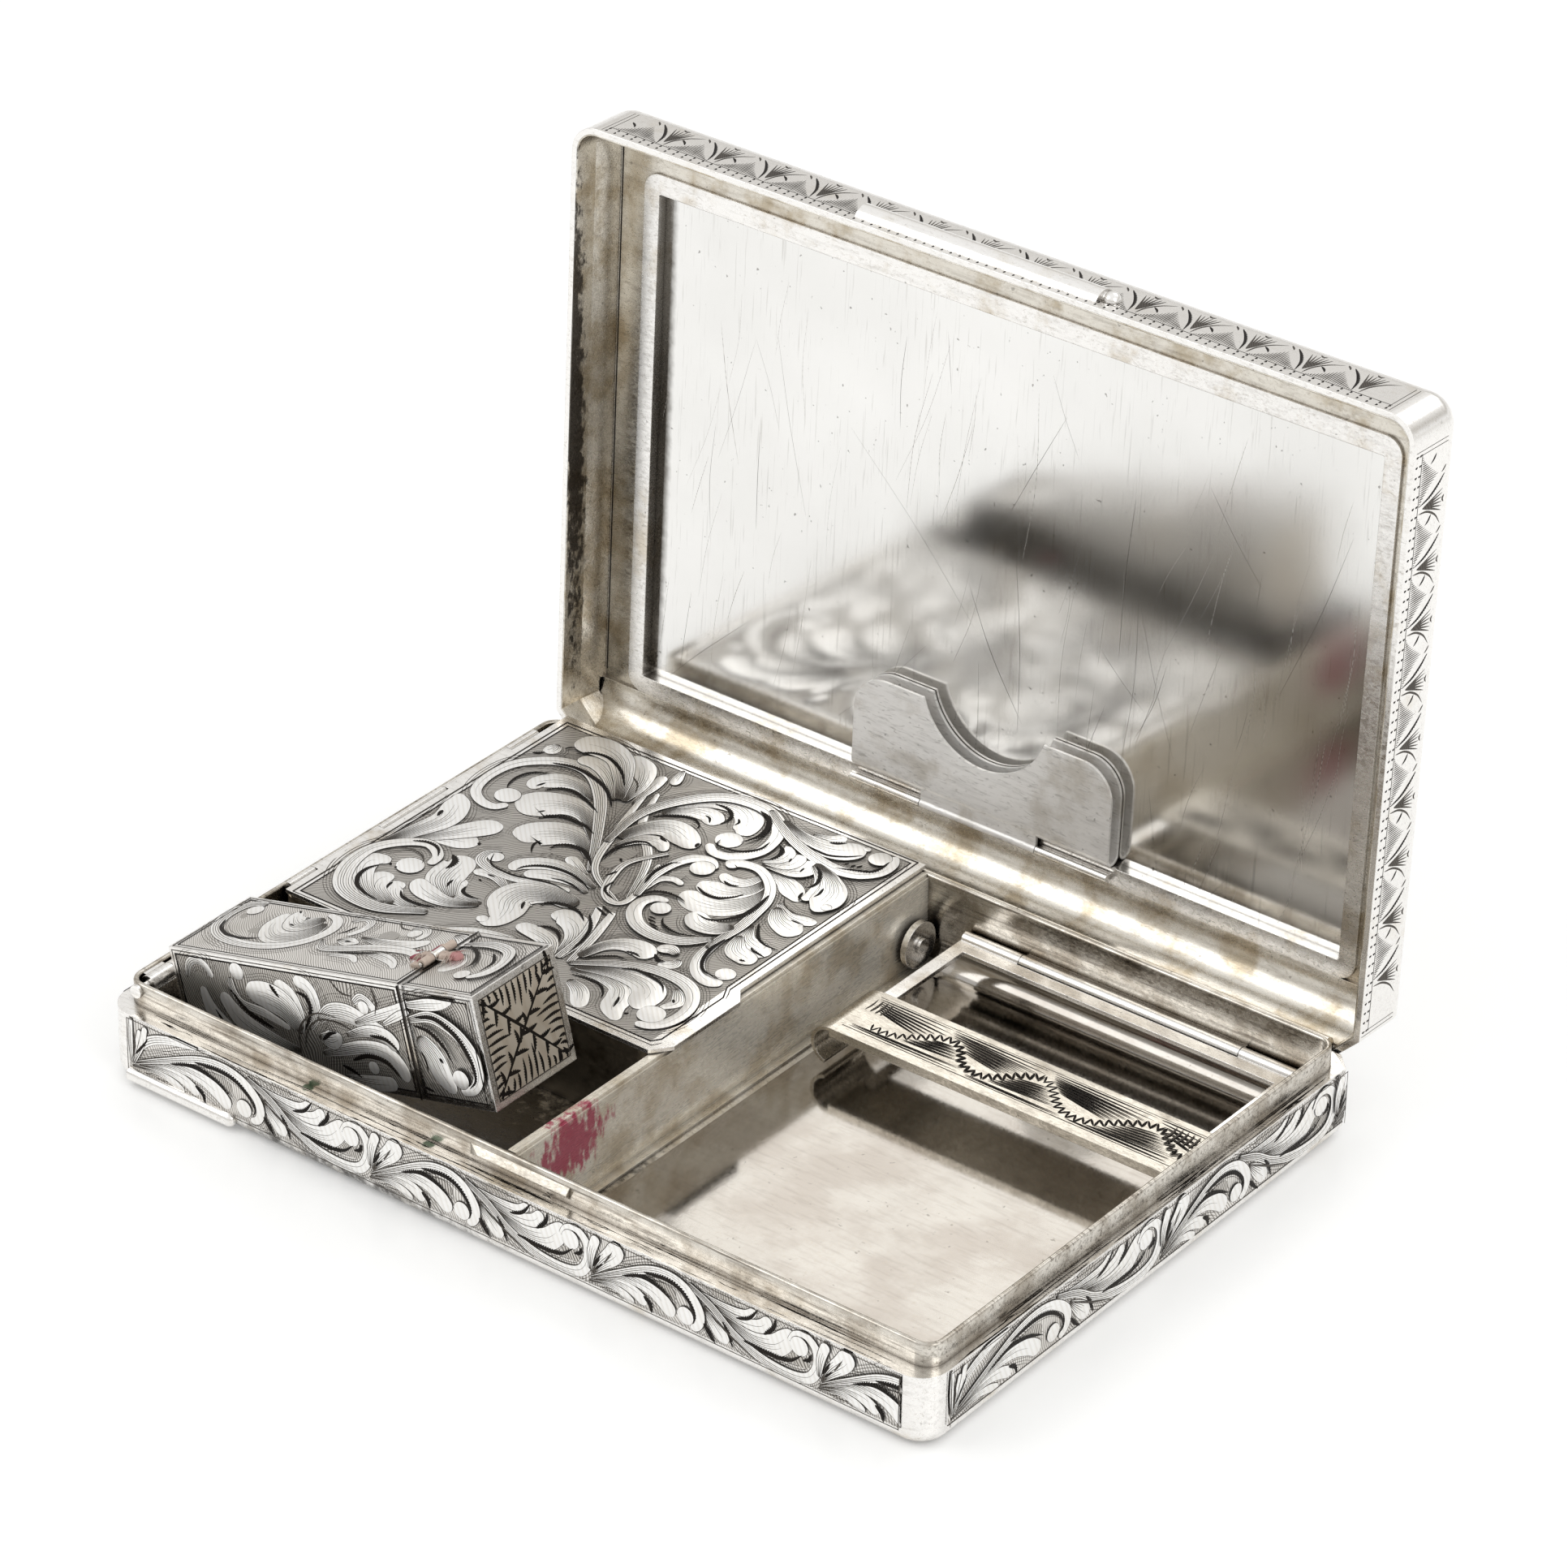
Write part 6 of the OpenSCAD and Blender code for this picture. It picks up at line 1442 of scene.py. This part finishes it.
studio = {
    "floorTone": "#f2f2f1",
    "floorGlow": 0.24,  # brings the floor that no shadow reaches to white
    "floorReach": 2.5,
    "floorRough": 0.32,
    "boardGrain": 2.5,
    "boardDepth": 0.02,
    "boardRelief": 0.04,
    "world": 0.78,
    "mirrored": [(0.0, "#e8e6e2"), (0.12, "#ffffff"), (0.3, "#bdb9b3"), (0.45, "#f4f3f1"), (0.9, "#ffffff")],
    "softboxes": [
        {"place": (-0.55, -0.5, 0.75), "size": 0.55, "level": 1.7},
        {"place": (0.75, -0.15, 0.6), "size": 0.5, "level": 1.5},
        {"place": (0.1, 0.7, 0.8), "size": 0.6, "level": 0.85},
    ],
    "aim": (0.0, 0.0, 0.03),
}


def softbox(index, facts):
    data = bpy.data.lights.new("softbox_%d" % index, "AREA")
    data.shape = "SQUARE"
    data.size = facts["size"]
    data.energy = facts["level"] * facts["size"] ** 2 * math.pi
    item = addItem(data.name, data)
    item.location = facts["place"]
    toward = Vector(studio["aim"]) - Vector(facts["place"])
    item.rotation_euler = toward.to_track_quat("-Z", "Y").to_euler()


def studioWorld():
    # White for the camera, bands of white and grey for what metal mirrors, plain soft light elsewhere.
    scene.world = bpy.data.worlds.new("studio")
    scene.world.use_nodes = True
    tree = scene.world.node_tree
    tree.nodes.clear()
    path = addNode(tree, "LightPath").outputs
    seen = addNode(tree, "Math", {0: path["Is Camera Ray"], 1: path["Is Transmission Ray"]}, operation="MAXIMUM")
    height = addNode(tree, "SeparateXYZ", {0: addNode(tree, "TexCoord").outputs["Generated"]}).outputs["Z"]
    ramp = addNode(tree, "ValToRGB", {"Fac": height})
    stops = ramp.color_ramp.elements
    (stops[0].position, first), *bands, (stops[1].position, last) = studio["mirrored"]
    stops[0].color, stops[1].color = linear(first), linear(last)
    for spot, tone in bands:
        stops.new(spot).color = linear(tone)
    plain = addNode(tree, "Background", {"Color": linear("#ffffff"), "Strength": studio["world"]})
    mirrored = addNode(tree, "Background", {"Color": ramp, "Strength": 1.0})
    white = addNode(tree, "Background", {"Color": linear("#ffffff"), "Strength": 1.0})
    unseen = addNode(tree, "MixShader", {0: path["Is Glossy Ray"], 1: plain, 2: mirrored})
    both = addNode(tree, "MixShader", {0: seen, 1: unseen, 2: white})
    addNode(tree, "OutputWorld", {"Surface": both})


def studioFloor():
    # White coated board: matt, with just enough sheen for a faint reflection, and lit through for the camera.
    material, tree, place = newMaterial("board_white_coated")
    path = addNode(tree, "LightPath").outputs
    seen = addNode(tree, "Math", {0: path["Is Camera Ray"], 1: path["Is Glossy Ray"]}, operation="MAXIMUM")
    either = addNode(tree, "Math", {0: seen, 1: path["Is Transmission Ray"]}, operation="MAXIMUM")
    glow = addNode(tree, "Math", {0: either, 1: studio["floorGlow"]}, operation="MULTIPLY")
    grain = addNode(tree, "TexNoise", {"Vector": place, "Scale": 1 / (studio["boardGrain"] * mm), "Detail": 3.0})
    depth = studio["boardDepth"] * mm
    relief = addNode(tree, "Bump", {"Height": grain, "Strength": studio["boardRelief"], "Distance": depth})
    tone = linear(studio["floorTone"])
    inputs = {"Base Color": tone, "Roughness": studio["floorRough"], "Normal": relief}
    finishMaterial(tree, {**inputs, "Emission Color": tone, "Emission Strength": glow})
    mesh = bpy.data.meshes.new("floor")
    far = studio["floorReach"]
    mesh.from_pydata([(-far, -far, 0), (far, -far, 0), (far, far, 0), (-far, far, 0)], [], [(0, 1, 2, 3)])
    mesh.materials.append(material)
    item = addItem("floor", mesh)


for index, facts in enumerate(studio["softboxes"]):
    softbox(index, facts)
studioWorld()
studioFloor()
scene.view_settings.view_transform = "Standard"
print("studio lit")
